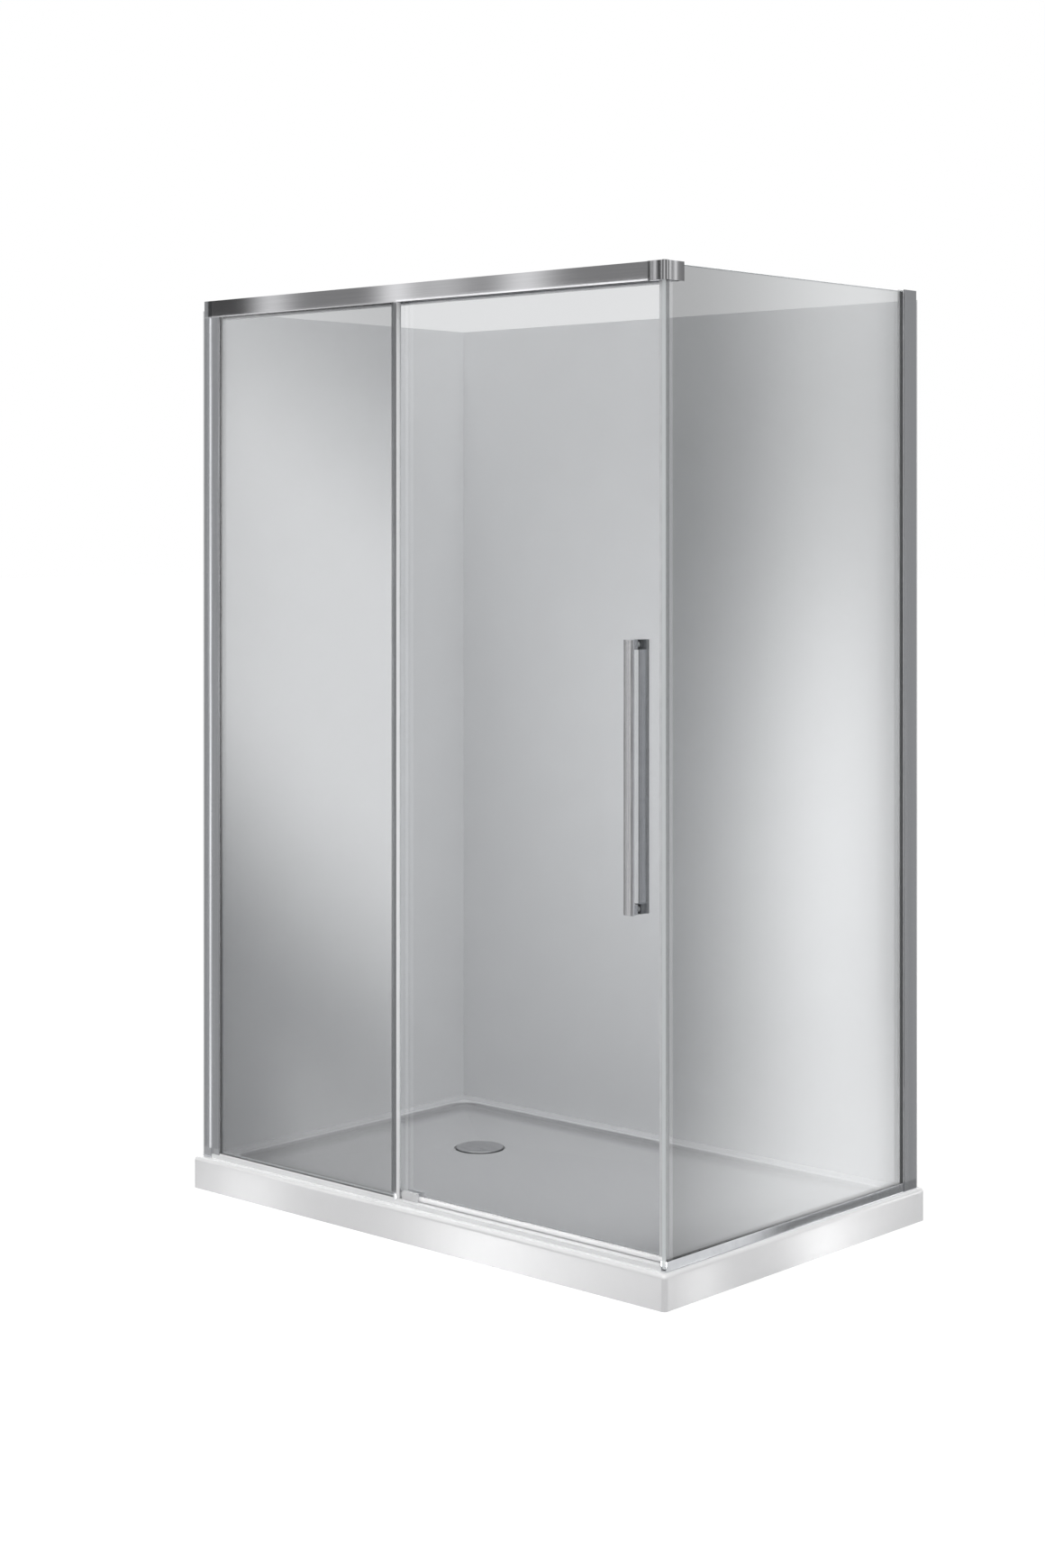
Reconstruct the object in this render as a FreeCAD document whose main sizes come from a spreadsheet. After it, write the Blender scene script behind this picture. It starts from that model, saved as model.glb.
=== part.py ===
"""Shower enclosure with a sliding door: tray, wall liners, header rail, glass, rollers and waste.

Frame: origin at the centre of the tray's footprint on the floor, +Z up, +X along the front
from the left wall to the open corner, -Y towards the person who faces the door. Millimetres.
"""
import FreeCAD, Part
import math
import os
import re
import Sketcher

os.makedirs("parts", exist_ok=True)
doc = FreeCAD.newDocument("ShowerEnclosure")
Vector = FreeCAD.Vector
Rotation = FreeCAD.Rotation

# ---------------------------------------------------------------- driving sizes
SIZES = {
    # tray
    "tray_length": 1400, "tray_width": 900, "tray_height": 72,
    "tray_corner_radius": 9, "tray_edge_radius": 9, "rim_width": 60, "basin_depth": 14,
    "basin_corner_radius": 48, "basin_lip": 3, "basin_foot_radius": 9, "fall_border": 15,
    "floor_low_height": 42, "fall_square": 132, "trap_bay_size": 180, "trap_bay_height": 30,
    # waste
    "waste_from_left": 350, "waste_from_back": 310, "waste_recess_diameter": 121,
    "waste_recess_depth": 6, "flange_diameter": 114, "flange_thickness": 2.5, "cup_diameter": 86,
    "cup_depth": 19, "cup_wall": 3, "cup_hole_clearance": 0.5, "tail_diameter": 47.8,
    "tail_wall": 2.6, "tail_length": 15, "waste_gasket_thickness": 1.5, "backnut_diameter": 110,
    "backnut_height": 6, "thread_clearance": 0.1,
    "cover_diameter": 112, "cover_thickness": 2.5, "cover_bevel": 1.2, "cover_lift": 2.5,
    "cover_skirt_height": 9, "cover_skirt_wall": 1.8, "catcher_depth": 7, "catcher_wall": 1.6,
    "catcher_hole_diameter": 7, "part_gap": 0.3,
    # heights and lines of the enclosure
    "overall_height": 2040, "liner_inset": 20, "liner_thickness": 4, "liner_drop": 23,
    "front_inset": 18, "side_inset": 12,
    # glass
    "fixed_thickness": 8, "door_thickness": 8, "return_thickness": 10, "glass_arris": 0.8,
    "gasket_thickness": 0.8, "return_gasket_thickness": 1.6, "setting_block_height": 2,
    "setting_block_length": 60, "bond_gap": 0.2,
    # header rail
    "header_depth": 54, "header_height": 38, "header_wall": 2.2, "header_proud": 2,
    "track_flange": 2.4, "rib_height": 4, "track_rib_width": 3, "groove_depth": 16,
    "fixed_glass_rise": 14, "cover_strip_height": 3,
    # corner connector
    "connector_reach": 46.5, "connector_proud_front": 4, "connector_proud_side": 3.5,
    "connector_proud_top": 1, "connector_back_extra": 1, "connector_radius": 10,
    "connector_edge": 1, "connector_wall": 4, "socket_depth": 20, "spigot_length": 45,
    "spigot_gap": 0.2, "return_glass_drop": 6,
    # wall jambs and glazing profile
    "jamb_left_width": 24, "jamb_depth": 30, "jamb_wall": 2, "jamb_right_depth": 46,
    "jamb_right_drop": 3, "wall_hole_diameter": 5, "wall_hole_margin": 272.5,
    "liner_hole_diameter": 9, "bead_width": 6.6, "bead_proud": 1.2, "glazing_wall": 1.5,
    "glazing_reach": 27, "telescope_depth": 16, "jamb_screw_margin": 350,
    # fixed panel edge, threshold and return channel
    "door_side_width": 743, "edge_strip_width": 9, "strip_wall": 1, "strip_web": 1.5,
    "threshold_height": 10, "threshold_depth": 40, "threshold_wall": 2, "threshold_floor": 3.5,
    "threshold_toe": 3, "threshold_ramp": 11, "bead_height": 3, "infill_gap": 0.3,
    "return_channel_height": 20, "channel_wall": 1.6, "channel_floor": 3,
    # door
    "door_gap": 8, "door_overlap": 23, "door_floor_gap": 2,
    "leading_seal_width": 9.7, "leading_seal_wrap": 10, "seal_wall": 1.2, "seal_base": 3,
    "bottom_seal_height": 10, "door_glass_rise": 17,
    "door_rail_height": 16, "door_rail_wall": 1.8, "door_rail_web": 2, "door_rail_rise": 3,
    "door_rail_inset": 12,
    # hangers and rollers
    "hanger_inset": 98, "hanger_length": 90, "hanger_thickness": 3, "hanger_head": 15.5,
    "wheel_pitch": 56, "wheel_radius": 13, "roll_radius": 10, "roll_clearance": 0.1,
    "wheel_width": 8, "wheel_side_gap": 1.5, "groove_side_gap": 0.5, "bearing_radius": 7.5,
    "bearing_width": 5, "axle_radius": 3, "axle_clearance": 0.04, "axle_head_radius": 4.6,
    "axle_head_height": 2.2, "slot_gap": 1.5, "anti_lift_length": 20, "anti_lift_side": 4,
    "anti_lift_gap": 0.6,
    "screw_radius": 2, "screw_head_radius": 3.8, "screw_head_height": 1.8, "screw_bite": 5,
    "hanger_screw_pitch": 20, "hanger_screw_drop": 7,
    "stop_inset": 60.7, "stop_length": 22, "buffer_length": 6, "stop_height": 22,
    "bearing_play": 0.1, "bearing_fit": 0.03,
    # handle
    "handle_length": 542, "handle_width": 24, "handle_bar": 7, "handle_stand": 15.3,
    "handle_height": 1027, "handle_setback": 73, "handle_post": 20, "handle_post_width": 16,
    "handle_washer": 1, "handle_bolt_radius": 4, "handle_bush_wall": 2, "handle_bush_gap": 0.1,
    "handle_bolt_bite": 10, "handle_round": 1.5,
    # guide block
    "guide_length": 44, "guide_height": 19, "guide_jaw": 6, "guide_gap": 0.8, "guide_floor": 1,
    "guide_setback": 8,
}

WALL_HOLES = 3
JAMB_SCREWS = 3
CATCHER_HOLES = 8
COVER_FEET = 4
SETTING_BLOCKS = 2
# Small repeated round pieces are prisms with this many sides, which keeps their copies light.
ROUND_SIDES = 36
WHEEL_SIDES = 24
SCREW_SIDES = 8

sheet = doc.addObject("Spreadsheet::Sheet", "Sizes")
for row, (name, value) in enumerate(SIZES.items(), start=1):
    sheet.set("A%d" % row, name)
    sheet.set("B%d" % row, str(value))
    sheet.setAlias("B%d" % row, name)

# ------------------------------------------------- places worked out from the sizes
LAYOUT = {
    # tray and walls
    "tray_left": "-tray_length / 2", "tray_right": "tray_length / 2",
    "tray_front": "-tray_width / 2", "tray_back": "tray_width / 2", "rim_z": "tray_height",
    "liner_x": "tray_left + liner_inset", "liner_y": "tray_back - liner_inset",
    "liner_top_z": "overall_height - liner_drop",
    "basin_left": "tray_left + rim_width", "basin_right": "tray_right - rim_width",
    "basin_front": "tray_front + rim_width", "basin_back": "tray_back - rim_width",
    "basin_floor_z": "rim_z - basin_depth", "fall_inset": "basin_foot_radius + fall_border",
    # waste
    "waste_x": "tray_left + waste_from_left", "waste_y": "tray_back - waste_from_back",
    "recess_z": "floor_low_height - waste_recess_depth",
    "flange_z": "recess_z + waste_gasket_thickness",
    "flange_top_z": "flange_z + flange_thickness",
    "cup_radius": "cup_diameter / 2", "cup_bore": "cup_radius - cup_wall",
    "cup_low_z": "flange_z - cup_depth", "tail_low_z": "cup_low_z - tail_length",
    "tail_radius": "tail_diameter / 2",
    "cover_z": "flange_top_z + cover_lift", "skirt_radius": "cup_bore - 2 * part_gap",
    "skirt_low_z": "cover_z - cover_skirt_height",
    # glass lines
    "line_y": "tray_front + front_inset", "line_x": "tray_right - side_inset",
    "header_front_y": "line_y - header_proud", "header_back_y": "header_front_y + header_depth",
    "header_top_z": "overall_height - connector_proud_top",
    "header_low_z": "header_top_z - header_height", "header_roof_z": "header_top_z - header_wall",
    "fixed_front_y": "line_y + strip_wall", "fixed_back_y": "fixed_front_y + fixed_thickness",
    "strip_back_y": "fixed_back_y + strip_wall",
    "door_front_y": "strip_back_y + door_gap", "door_back_y": "door_front_y + door_thickness",
    "door_mid_y": "door_front_y + door_thickness / 2",
    "rail_front_y": "door_front_y - bond_gap - door_rail_wall",
    "rail_back_y": "door_back_y + bond_gap + door_rail_wall",
    "hanger_back_y": "rail_back_y + hanger_thickness",
    "wheel_front_y": "hanger_back_y + wheel_side_gap",
    "wheel_back_y": "wheel_front_y + wheel_width",
    "wheel_mid_y": "wheel_front_y + wheel_width / 2",
    "track_edge_y": "hanger_back_y + slot_gap",
    "groove_front_y": "header_front_y + header_wall",
    "groove_back_y": "fixed_back_y + gasket_thickness",
    "divider_back_y": "groove_back_y + header_wall",
    "chamber_low_z": "header_low_z + groove_depth + header_wall",
    "track_floor_z": "header_low_z + track_flange",
    "rib_top_z": "track_floor_z + rib_height",
    "axle_z": "rib_top_z + roll_clearance + roll_radius",
    "hanger_top_z": "axle_z + hanger_head", "header_inner_back_y": "header_back_y - header_wall",
    # left jamb, glazing profile and fixed panel
    "jamb_mouth_x": "liner_x + jamb_left_width", "jamb_back_y": "header_front_y + jamb_depth",
    "header_left_x": "jamb_mouth_x + jamb_wall",
    "pocket_x": "jamb_mouth_x + bead_width + glazing_wall",
    "glazing_end_x": "jamb_mouth_x + glazing_reach",
    "glazing_box_x": "jamb_mouth_x - telescope_depth",
    "glazing_front_y": "header_front_y + jamb_wall + part_gap",
    "glazing_rear_y": "jamb_back_y - jamb_wall - part_gap",
    "pocket_front_y": "fixed_front_y - gasket_thickness",
    "glazing_face_y": "pocket_front_y - glazing_wall",
    "pocket_back_y": "groove_back_y",
    "fixed_left_x": "pocket_x + setting_block_height",
    "fixed_edge_x": "line_x - door_side_width", "fixed_right_x": "fixed_edge_x - strip_web",
    "strip_left_x": "fixed_edge_x - edge_strip_width",
    "threshold_top_z": "rim_z + threshold_height",
    "threshold_back_y": "threshold_front_y + threshold_depth",
    "threshold_front_y": "line_y - threshold_wall / 2",
    "seat_z": "rim_z + threshold_floor", "fixed_low_z": "seat_z + setting_block_height",
    "fixed_top_z": "header_low_z + fixed_glass_rise",
    # return panel and right jamb
    "return_inner_x": "line_x - return_thickness",
    "return_top_z": "overall_height - return_glass_drop",
    "channel_inner_x": "return_inner_x - bond_gap - channel_wall",
    "channel_outer_x": "line_x + bond_gap + channel_wall",
    "return_low_z": "rim_z + channel_floor + setting_block_height",
    "jamb_right_y": "liner_y - jamb_right_depth",
    "jamb_right_in_x": "return_inner_x - return_gasket_thickness - jamb_wall",
    "jamb_right_out_x": "line_x + return_gasket_thickness + jamb_wall",
    "return_end_y": "liner_y - jamb_wall - 4 * setting_block_height",
    "jamb_right_top_z": "overall_height - jamb_right_drop",
    # corner connector
    "connector_left_x": "connector_right_x - connector_reach",
    "connector_right_x": "line_x + connector_proud_side",
    "connector_front_y": "line_y - connector_proud_front",
    "connector_back_y": "header_back_y + connector_back_extra",
    # door
    "door_left_x": "fixed_edge_x - door_overlap",
    "door_right_x": "return_inner_x - part_gap - leading_seal_width",
    "door_seal_low_z": "threshold_top_z + door_floor_gap",
    "door_low_z": "door_seal_low_z + seal_base", "door_top_z": "header_low_z + door_glass_rise",
    "rail_low_z": "header_low_z + door_rail_rise", "rail_top_z": "rail_low_z + door_rail_height",
    "hanger_left_x": "door_left_x + hanger_inset", "hanger_right_x": "door_right_x - hanger_inset",
    "seal_front_y": "door_front_y - seal_wall", "seal_back_y": "door_back_y + seal_wall",
    "hanger_screw_z": "rail_top_z - hanger_screw_drop",
    "fixed_middle_y": "(fixed_front_y + fixed_back_y) / 2",
    "spigot_mid_z": "(chamber_low_z + header_roof_z) / 2",
    "seat_front_y": "groove_front_y", "seat_back_y": "groove_back_y",
    "strip_wiper_x": "(strip_left_x + fixed_edge_x) / 2",
    "guide_top_z": "threshold_top_z + guide_height", "stop_top_z": "track_floor_z + stop_height",
    # handle
    "handle_x": "door_right_x - handle_setback",
    "handle_low_z": "handle_height - handle_length / 2",
    "handle_top_z": "handle_height + handle_length / 2",
    "bolt_low_z": "handle_low_z + handle_post / 2", "bolt_top_z": "handle_top_z - handle_post / 2",
    "outer_bar_y": "door_front_y - handle_stand", "inner_bar_y": "door_back_y + handle_stand",
    "bush_radius": "handle_bolt_radius + handle_bush_gap + handle_bush_wall",
}

layout = doc.addObject("App::VarSet", "Layout")
for name in LAYOUT:
    layout.addProperty("App::PropertyFloat", name)


def bound(text):
    """An expression on plain names, with each name led back to the sheet or the layout."""
    def owner(match):
        word = match.group(0)
        if word in SIZES:
            return "Sizes." + word
        if word in LAYOUT:
            return "Layout." + word
        raise NameError("unknown size: " + word)
    return re.sub(r"[a-z][a-z_]*", owner, str(text))


for name, formula in LAYOUT.items():
    layout.setExpression(name, bound(formula))
doc.recompute()


def number(name):
    """The present value of one named size or place."""
    if name in SIZES:
        return float(sheet.get(name))
    return float(getattr(layout, name))


# ---------------------------------------------------------------- building helpers
PLANES = {"X": "YZ_Plane", "Y": "XZ_Plane", "Z": "XY_Plane"}
TURNS = {
    "X": Rotation(Vector(0, 0, 1), Vector(1, 0, 0)),
    "Y": Rotation(Vector(0, 0, 1), Vector(0, 1, 0)),
    "Z": Rotation(),
}
nodes = []


def node(item, label):
    """Names an object as one sub-part of the enclosure."""
    item.Label = label
    nodes.append(item)
    return item


def place(item, x=None, y=None, z=None):
    for letter, text in (("x", x), ("y", y), ("z", z)):
        if text is not None:
            item.setExpression("Placement.Base." + letter, bound(text))
    return item


def sketch_on(body, role, *loops, height=None):
    """A sketch of closed polygons whose corners are all held by expressions."""
    sketch = body.newObject("Sketcher::SketchObject", "Sketch")
    plane = [item for item in body.Origin.OriginFeatures if item.Role == role][0]
    sketch.AttachmentSupport = [(plane, "")]
    sketch.MapMode = "FlatFace"
    if height is not None:
        sketch.setExpression("AttachmentOffset.Base.z", bound(height))
    first = 0
    for loop in loops:
        count = len(loop)
        ring = [Vector(math.cos(2 * math.pi * i / count), math.sin(2 * math.pi * i / count), 0) * 50
                for i in range(count)]
        for i in range(count):
            sketch.addGeometry(Part.LineSegment(ring[i], ring[(i + 1) % count]))
        for i in range(count):
            follower = first + (i + 1) % count
            sketch.addConstraint(Sketcher.Constraint("Coincident", first + i, 2, follower, 1))
        for i, (across, up) in enumerate(loop):
            for kind, text in (("DistanceX", across), ("DistanceY", up)):
                index = sketch.addConstraint(Sketcher.Constraint(kind, -1, 1, first + i, 1, 1.0))
                sketch.setExpression("Constraints[%d]" % index, bound(text))
        first += count
    return sketch


def extrusion(axis, length, *loops):
    """A body padded along one axis from polygons in that axis's cross plane."""
    body = doc.addObject("PartDesign::Body", "Body")
    sketch = sketch_on(body, PLANES[axis], *loops)
    pad = body.newObject("PartDesign::Pad", "Pad")
    pad.Profile = sketch
    pad.setExpression("Length", bound(length))
    pad.Reversed = axis == "Y"
    sketch.Visibility = False
    return body


def rectangle(low_u, high_u, low_v, high_v):
    return [(low_u, low_v), (high_u, low_v), (high_u, high_v), (low_u, high_v)]


def turned(axis, outline, x, y, z):
    """A body turned from a half outline of (radius, height), its height along the axis."""
    body = doc.addObject("PartDesign::Body", "Turned")
    sketch = sketch_on(body, "XZ_Plane", outline)
    turn = body.newObject("PartDesign::Revolution", "Revolution")
    turn.Profile = sketch
    turn.ReferenceAxis = (sketch, ["V_Axis"])
    turn.Angle = 360
    body.Placement = FreeCAD.Placement(Vector(), TURNS[axis])
    return place(body, x, y, z)


def block(x_low, x_high, y_low, y_high, z_low, z_high):
    item = doc.addObject("Part::Box", "Block")
    for side, low, high in (("Length", x_low, x_high), ("Width", y_low, y_high),
                            ("Height", z_low, z_high)):
        item.setExpression(side, bound("(%s) - (%s)" % (high, low)))
    return place(item, x_low, y_low, z_low)


def rod(axis, radius, length, x, y, z):
    item = doc.addObject("Part::Cylinder", "Rod")
    item.setExpression("Radius", bound(radius))
    item.setExpression("Height", bound(length))
    item.Placement = FreeCAD.Placement(Vector(), TURNS[axis])
    return place(item, x, y, z)


def prism(axis, sides, radius, length, x, y, z):
    item = doc.addObject("Part::Prism", "Prism")
    item.Polygon = sides
    item.setExpression("Circumradius", bound(radius))
    item.setExpression("Height", bound(length))
    item.Placement = FreeCAD.Placement(Vector(), TURNS[axis])
    return place(item, x, y, z)


def hopper(low_loop, high_loop, low_z, high_z):
    """A block with sloping sides between two level rectangles. The wedge rises along its own
    Y, so it is tipped up, which turns its own Z towards -Y."""
    item = doc.addObject("Part::Wedge", "Hopper")
    item.Placement = FreeCAD.Placement(Vector(), Rotation(Vector(1, 0, 0), 90))
    item.setExpression("Ymin", bound(low_z))
    item.setExpression("Ymax", bound(high_z))
    for prefix, loop in (("%s", low_loop), ("%s2", high_loop)):
        item.setExpression(prefix % "X" + "min", bound(loop[0][0]))
        item.setExpression(prefix % "X" + "max", bound(loop[2][0]))
        item.setExpression(prefix % "Z" + "min", bound("-(%s)" % loop[2][1]))
        item.setExpression(prefix % "Z" + "max", bound("-(%s)" % loop[0][1]))
    return item


def fused(*items):
    joined = doc.addObject("Part::MultiFuse", "Joined")
    joined.Shapes = list(items)
    return joined


def cut(base, *tools):
    result = doc.addObject("Part::Cut", "Cut")
    result.Base = base
    result.Tool = tools[0] if len(tools) == 1 else fused(*tools)
    return result


def group(*items):
    gathered = doc.addObject("Part::Compound", "Group")
    gathered.Links = list(items)
    return gathered


def dress(body, kind, size, chosen):
    """Rounds or chamfers the edges of a body that the test picks."""
    doc.recompute()
    names = ["Edge%d" % (i + 1) for i, edge in enumerate(body.Shape.Edges) if chosen(edge)]
    if not names:
        raise ValueError("no edge picked on " + body.Name)
    base = body.Tip
    feature = body.newObject("PartDesign::" + kind, kind)
    feature.Base = (base, names)
    feature.setExpression("Size" if kind == "Chamfer" else "Radius", bound(size))
    return feature


def runs_along(edge, axis):
    if len(edge.Vertexes) != 2 or edge.Curve.TypeId != "Part::GeomLine":
        return False
    step = edge.Vertexes[1].Point - edge.Vertexes[0].Point
    return abs(abs(getattr(step, axis.lower())) - step.Length) < 1e-6


def near(value, target):
    return abs(value - target) < 1e-4


def pocket(body, depth, loop, height=None, upward=False):
    """A pocket of one polygon into a body, downward unless told otherwise."""
    doc.recompute()
    before = body.Shape.Volume
    sketch = sketch_on(body, "XY_Plane", loop, height=height)
    feature = body.newObject("PartDesign::Pocket", "Pocket")
    feature.Profile = sketch
    feature.setExpression("Length", bound(depth))
    feature.Reversed = upward
    sketch.Visibility = False
    doc.recompute()
    if body.Shape.Volume >= before:
        raise ValueError("a pocket cuts nothing in " + body.Label)
    return feature


# ---------------------------------------------------------------- tray
def build_tray():
    """Cast tray: soft outer edges, a basin with rounded corners, a floor that falls from all
    four sides to the waste, and a bay for the trap underneath."""
    body = extrusion("Z", "tray_height",
                     rectangle("tray_left", "tray_right", "tray_front", "tray_back"))
    dress(body, "Fillet", "tray_corner_radius", lambda edge: runs_along(edge, "Z"))
    top = number("tray_height")
    dress(body, "Fillet", "tray_edge_radius",
          lambda edge: all(near(corner.Z, top) for corner in edge.Vertexes))

    def basin(inset):
        return rectangle("basin_left + " + inset, "basin_right - " + inset,
                         "basin_front + " + inset, "basin_back - " + inset)

    pocket(body, "basin_depth", basin("0"), height="rim_z")
    floor = number("basin_floor_z")

    def corner_of_basin(edge):
        heights = sorted(point.Z for point in edge.Vertexes)
        return len(heights) == 2 and near(heights[0], floor) and near(heights[1], top)

    dress(body, "Fillet", "basin_corner_radius", corner_of_basin)
    reach_x = number("basin_right") + number("part_gap")
    reach_y = number("basin_back") + number("part_gap")

    def round_the_basin(edge, level):
        box = edge.BoundBox
        inside = abs(box.XMin) < reach_x and abs(box.XMax) < reach_x
        inside = inside and abs(box.YMin) < reach_y and abs(box.YMax) < reach_y
        return inside and near(box.ZMin, level) and near(box.ZMax, level)

    dress(body, "Fillet", "basin_foot_radius", lambda edge: round_the_basin(edge, floor))
    dress(body, "Chamfer", "basin_lip", lambda edge: round_the_basin(edge, top))

    def square_about_waste(side):
        return rectangle("waste_x - %s / 2" % side, "waste_x + %s / 2" % side,
                         "waste_y - %s / 2" % side, "waste_y + %s / 2" % side)

    pocket(body, "trap_bay_height", square_about_waste("trap_bay_size"), upward=True)
    fall = hopper(square_about_waste("fall_square"), basin("fall_inset"),
                  "floor_low_height", "basin_floor_z")
    recess = rod("Z", "waste_recess_diameter / 2", "waste_recess_depth + rim_z",
                 "waste_x", "waste_y", "recess_z")
    hole = rod("Z", "cup_radius + cup_hole_clearance", "rim_z", "waste_x", "waste_y", "0")
    node(cut(body, fall, recess, hole), "shower_tray")


build_tray()


# ---------------------------------------------------------------- waste
def ring(axis, sides, inner, outer, height, x, y, z):
    return cut(prism(axis, sides, outer, height, x, y, z), prism(axis, sides, inner, height, x, y, z))


def build_waste():
    """Waste cup hung in the tray by its flange, with a gasket on each side and the nut below."""
    spot = ("waste_x", "waste_y")
    tail = rod("Z", "tail_radius", "tail_length", *spot, "tail_low_z")
    cup = prism("Z", ROUND_SIDES, "cup_radius", "cup_depth", *spot, "cup_low_z")
    flange = prism("Z", ROUND_SIDES, "flange_diameter / 2", "flange_thickness", *spot, "flange_z")
    inside = prism("Z", ROUND_SIDES, "cup_bore", "cup_depth + flange_thickness", *spot,
                   "cup_low_z + cup_wall")
    outlet = prism("Z", ROUND_SIDES, "tail_radius - tail_wall", "tail_length + 2 * cup_wall", *spot,
                   "tail_low_z")
    node(cut(fused(tail, cup, flange), inside, outlet), "waste_body")
    upper = ring("Z", ROUND_SIDES, "cup_radius + cup_hole_clearance", "flange_diameter / 2",
                 "waste_gasket_thickness", *spot, "recess_z")
    node(upper, "waste_gasket_upper")
    under_z = "trap_bay_height - waste_gasket_thickness"
    under = ring("Z", ROUND_SIDES, "cup_radius + cup_hole_clearance", "backnut_diameter / 2",
                 "waste_gasket_thickness", *spot, under_z)
    node(under, "waste_gasket_under")
    nut_z = under_z + " - backnut_height"
    nut = cut(prism("Z", SCREW_SIDES, "backnut_diameter / 2", "backnut_height", *spot, nut_z),
              prism("Z", ROUND_SIDES, "cup_radius + thread_clearance", "backnut_height", *spot, nut_z))
    node(nut, "waste_backnut")


def build_waste_cover():
    """Lift-off disc with a centring skirt, standing on small feet, and the hair catcher in it."""
    spot = ("waste_x", "waste_y")
    disc = turned("Z", [
        ("0", "0"), ("cover_diameter / 2 - cover_bevel", "0"), ("cover_diameter / 2", "cover_bevel"),
        ("cover_diameter / 2 - cover_bevel / 2", "cover_thickness"), ("0", "cover_thickness"),
    ], *spot, "cover_z")
    catcher_radius = "skirt_radius - cover_skirt_wall"
    skirt = ring("Z", ROUND_SIDES, catcher_radius, "skirt_radius", "cover_skirt_height + cover_bevel",
                 *spot, "skirt_low_z")
    feet = []
    for index in range(COVER_FEET):
        turn = 2 * math.pi * (index + 0.5) / COVER_FEET
        feet.append(prism("Z", SCREW_SIDES, "cover_skirt_wall", "cover_lift - part_gap + cover_bevel",
                          "waste_x + (cup_bore + 2 * cover_skirt_wall) * %.5f" % math.cos(turn),
                          "waste_y + (cup_bore + 2 * cover_skirt_wall) * %.5f" % math.sin(turn),
                          "flange_top_z + part_gap"))
    node(fused(disc, skirt, *feet), "waste_cover")
    basket = prism("Z", ROUND_SIDES, catcher_radius, "catcher_depth", *spot, "skirt_low_z")
    inside = prism("Z", ROUND_SIDES, catcher_radius + " - catcher_wall", "catcher_depth", *spot,
                   "skirt_low_z + catcher_wall")
    holes = []
    for index in range(CATCHER_HOLES):
        turn = 2 * math.pi * index / CATCHER_HOLES
        holes.append(prism("Z", SCREW_SIDES, "catcher_hole_diameter / 2", "2 * catcher_depth",
                           "waste_x + skirt_radius * %.5f" % (0.62 * math.cos(turn)),
                           "waste_y + skirt_radius * %.5f" % (0.62 * math.sin(turn)),
                           "skirt_low_z - catcher_depth / 2"))
    node(cut(basket, inside, *holes), "hair_catcher")


build_waste()
build_waste_cover()


def screw(x, y, z, grip, bite="screw_bite"):
    """Screw seated at y that grips one thickness and bites into the piece behind it."""
    length = "%s + %s" % (grip, bite)
    return fused(
        prism("Y", SCREW_SIDES, "screw_radius - thread_clearance / 2", length, x,
              "%s - (%s)" % (y, length), z),
        prism("Y", SCREW_SIDES, "screw_head_radius", "screw_head_height", x, y, z))


def screw_holes(places, y_seat, z, grip):
    """The holes that such screws fill, through everything they pass."""
    length = "%s + screw_bite + 2 * part_gap" % grip
    return [prism("Y", SCREW_SIDES, "screw_radius", length, x,
                  "%s - (%s) + part_gap" % (y_seat, length), z) for x in places]


# ---------------------------------------------------------------- wall liners and jambs
def shared_height(index, count, margin, top):
    """Height of one of the holes spread evenly between the tray's rim and a top level."""
    return "rim_z + %s + %d * (%s - rim_z - 2 * %s) / %d" % (margin, index, top, margin, count - 1)


def hole_height(index):
    return shared_height(index, WALL_HOLES, "wall_hole_margin", "liner_top_z")


def build_liners():
    left = block("liner_x - liner_thickness", "liner_x", "header_front_y", "liner_y + liner_thickness",
                 "rim_z", "liner_top_z")
    back = block("liner_x", "jamb_right_out_x", "liner_y", "liner_y + liner_thickness",
                 "rim_z", "liner_top_z")
    left_holes = []
    back_holes = []
    for index in range(WALL_HOLES):
        left_holes.append(prism("X", SCREW_SIDES, "liner_hole_diameter / 2", "2 * liner_thickness",
                                "liner_x - 1.5 * liner_thickness",
                                "header_front_y + jamb_depth / 2", hole_height(index)))
        back_holes.append(prism("Y", SCREW_SIDES, "liner_hole_diameter / 2", "2 * liner_thickness",
                                "(return_inner_x + line_x) / 2", "liner_y - liner_thickness / 2",
                                hole_height(index)))
    node(cut(left, *left_holes), "wall_liner_left")
    node(cut(back, *back_holes), "wall_liner_back")


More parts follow.
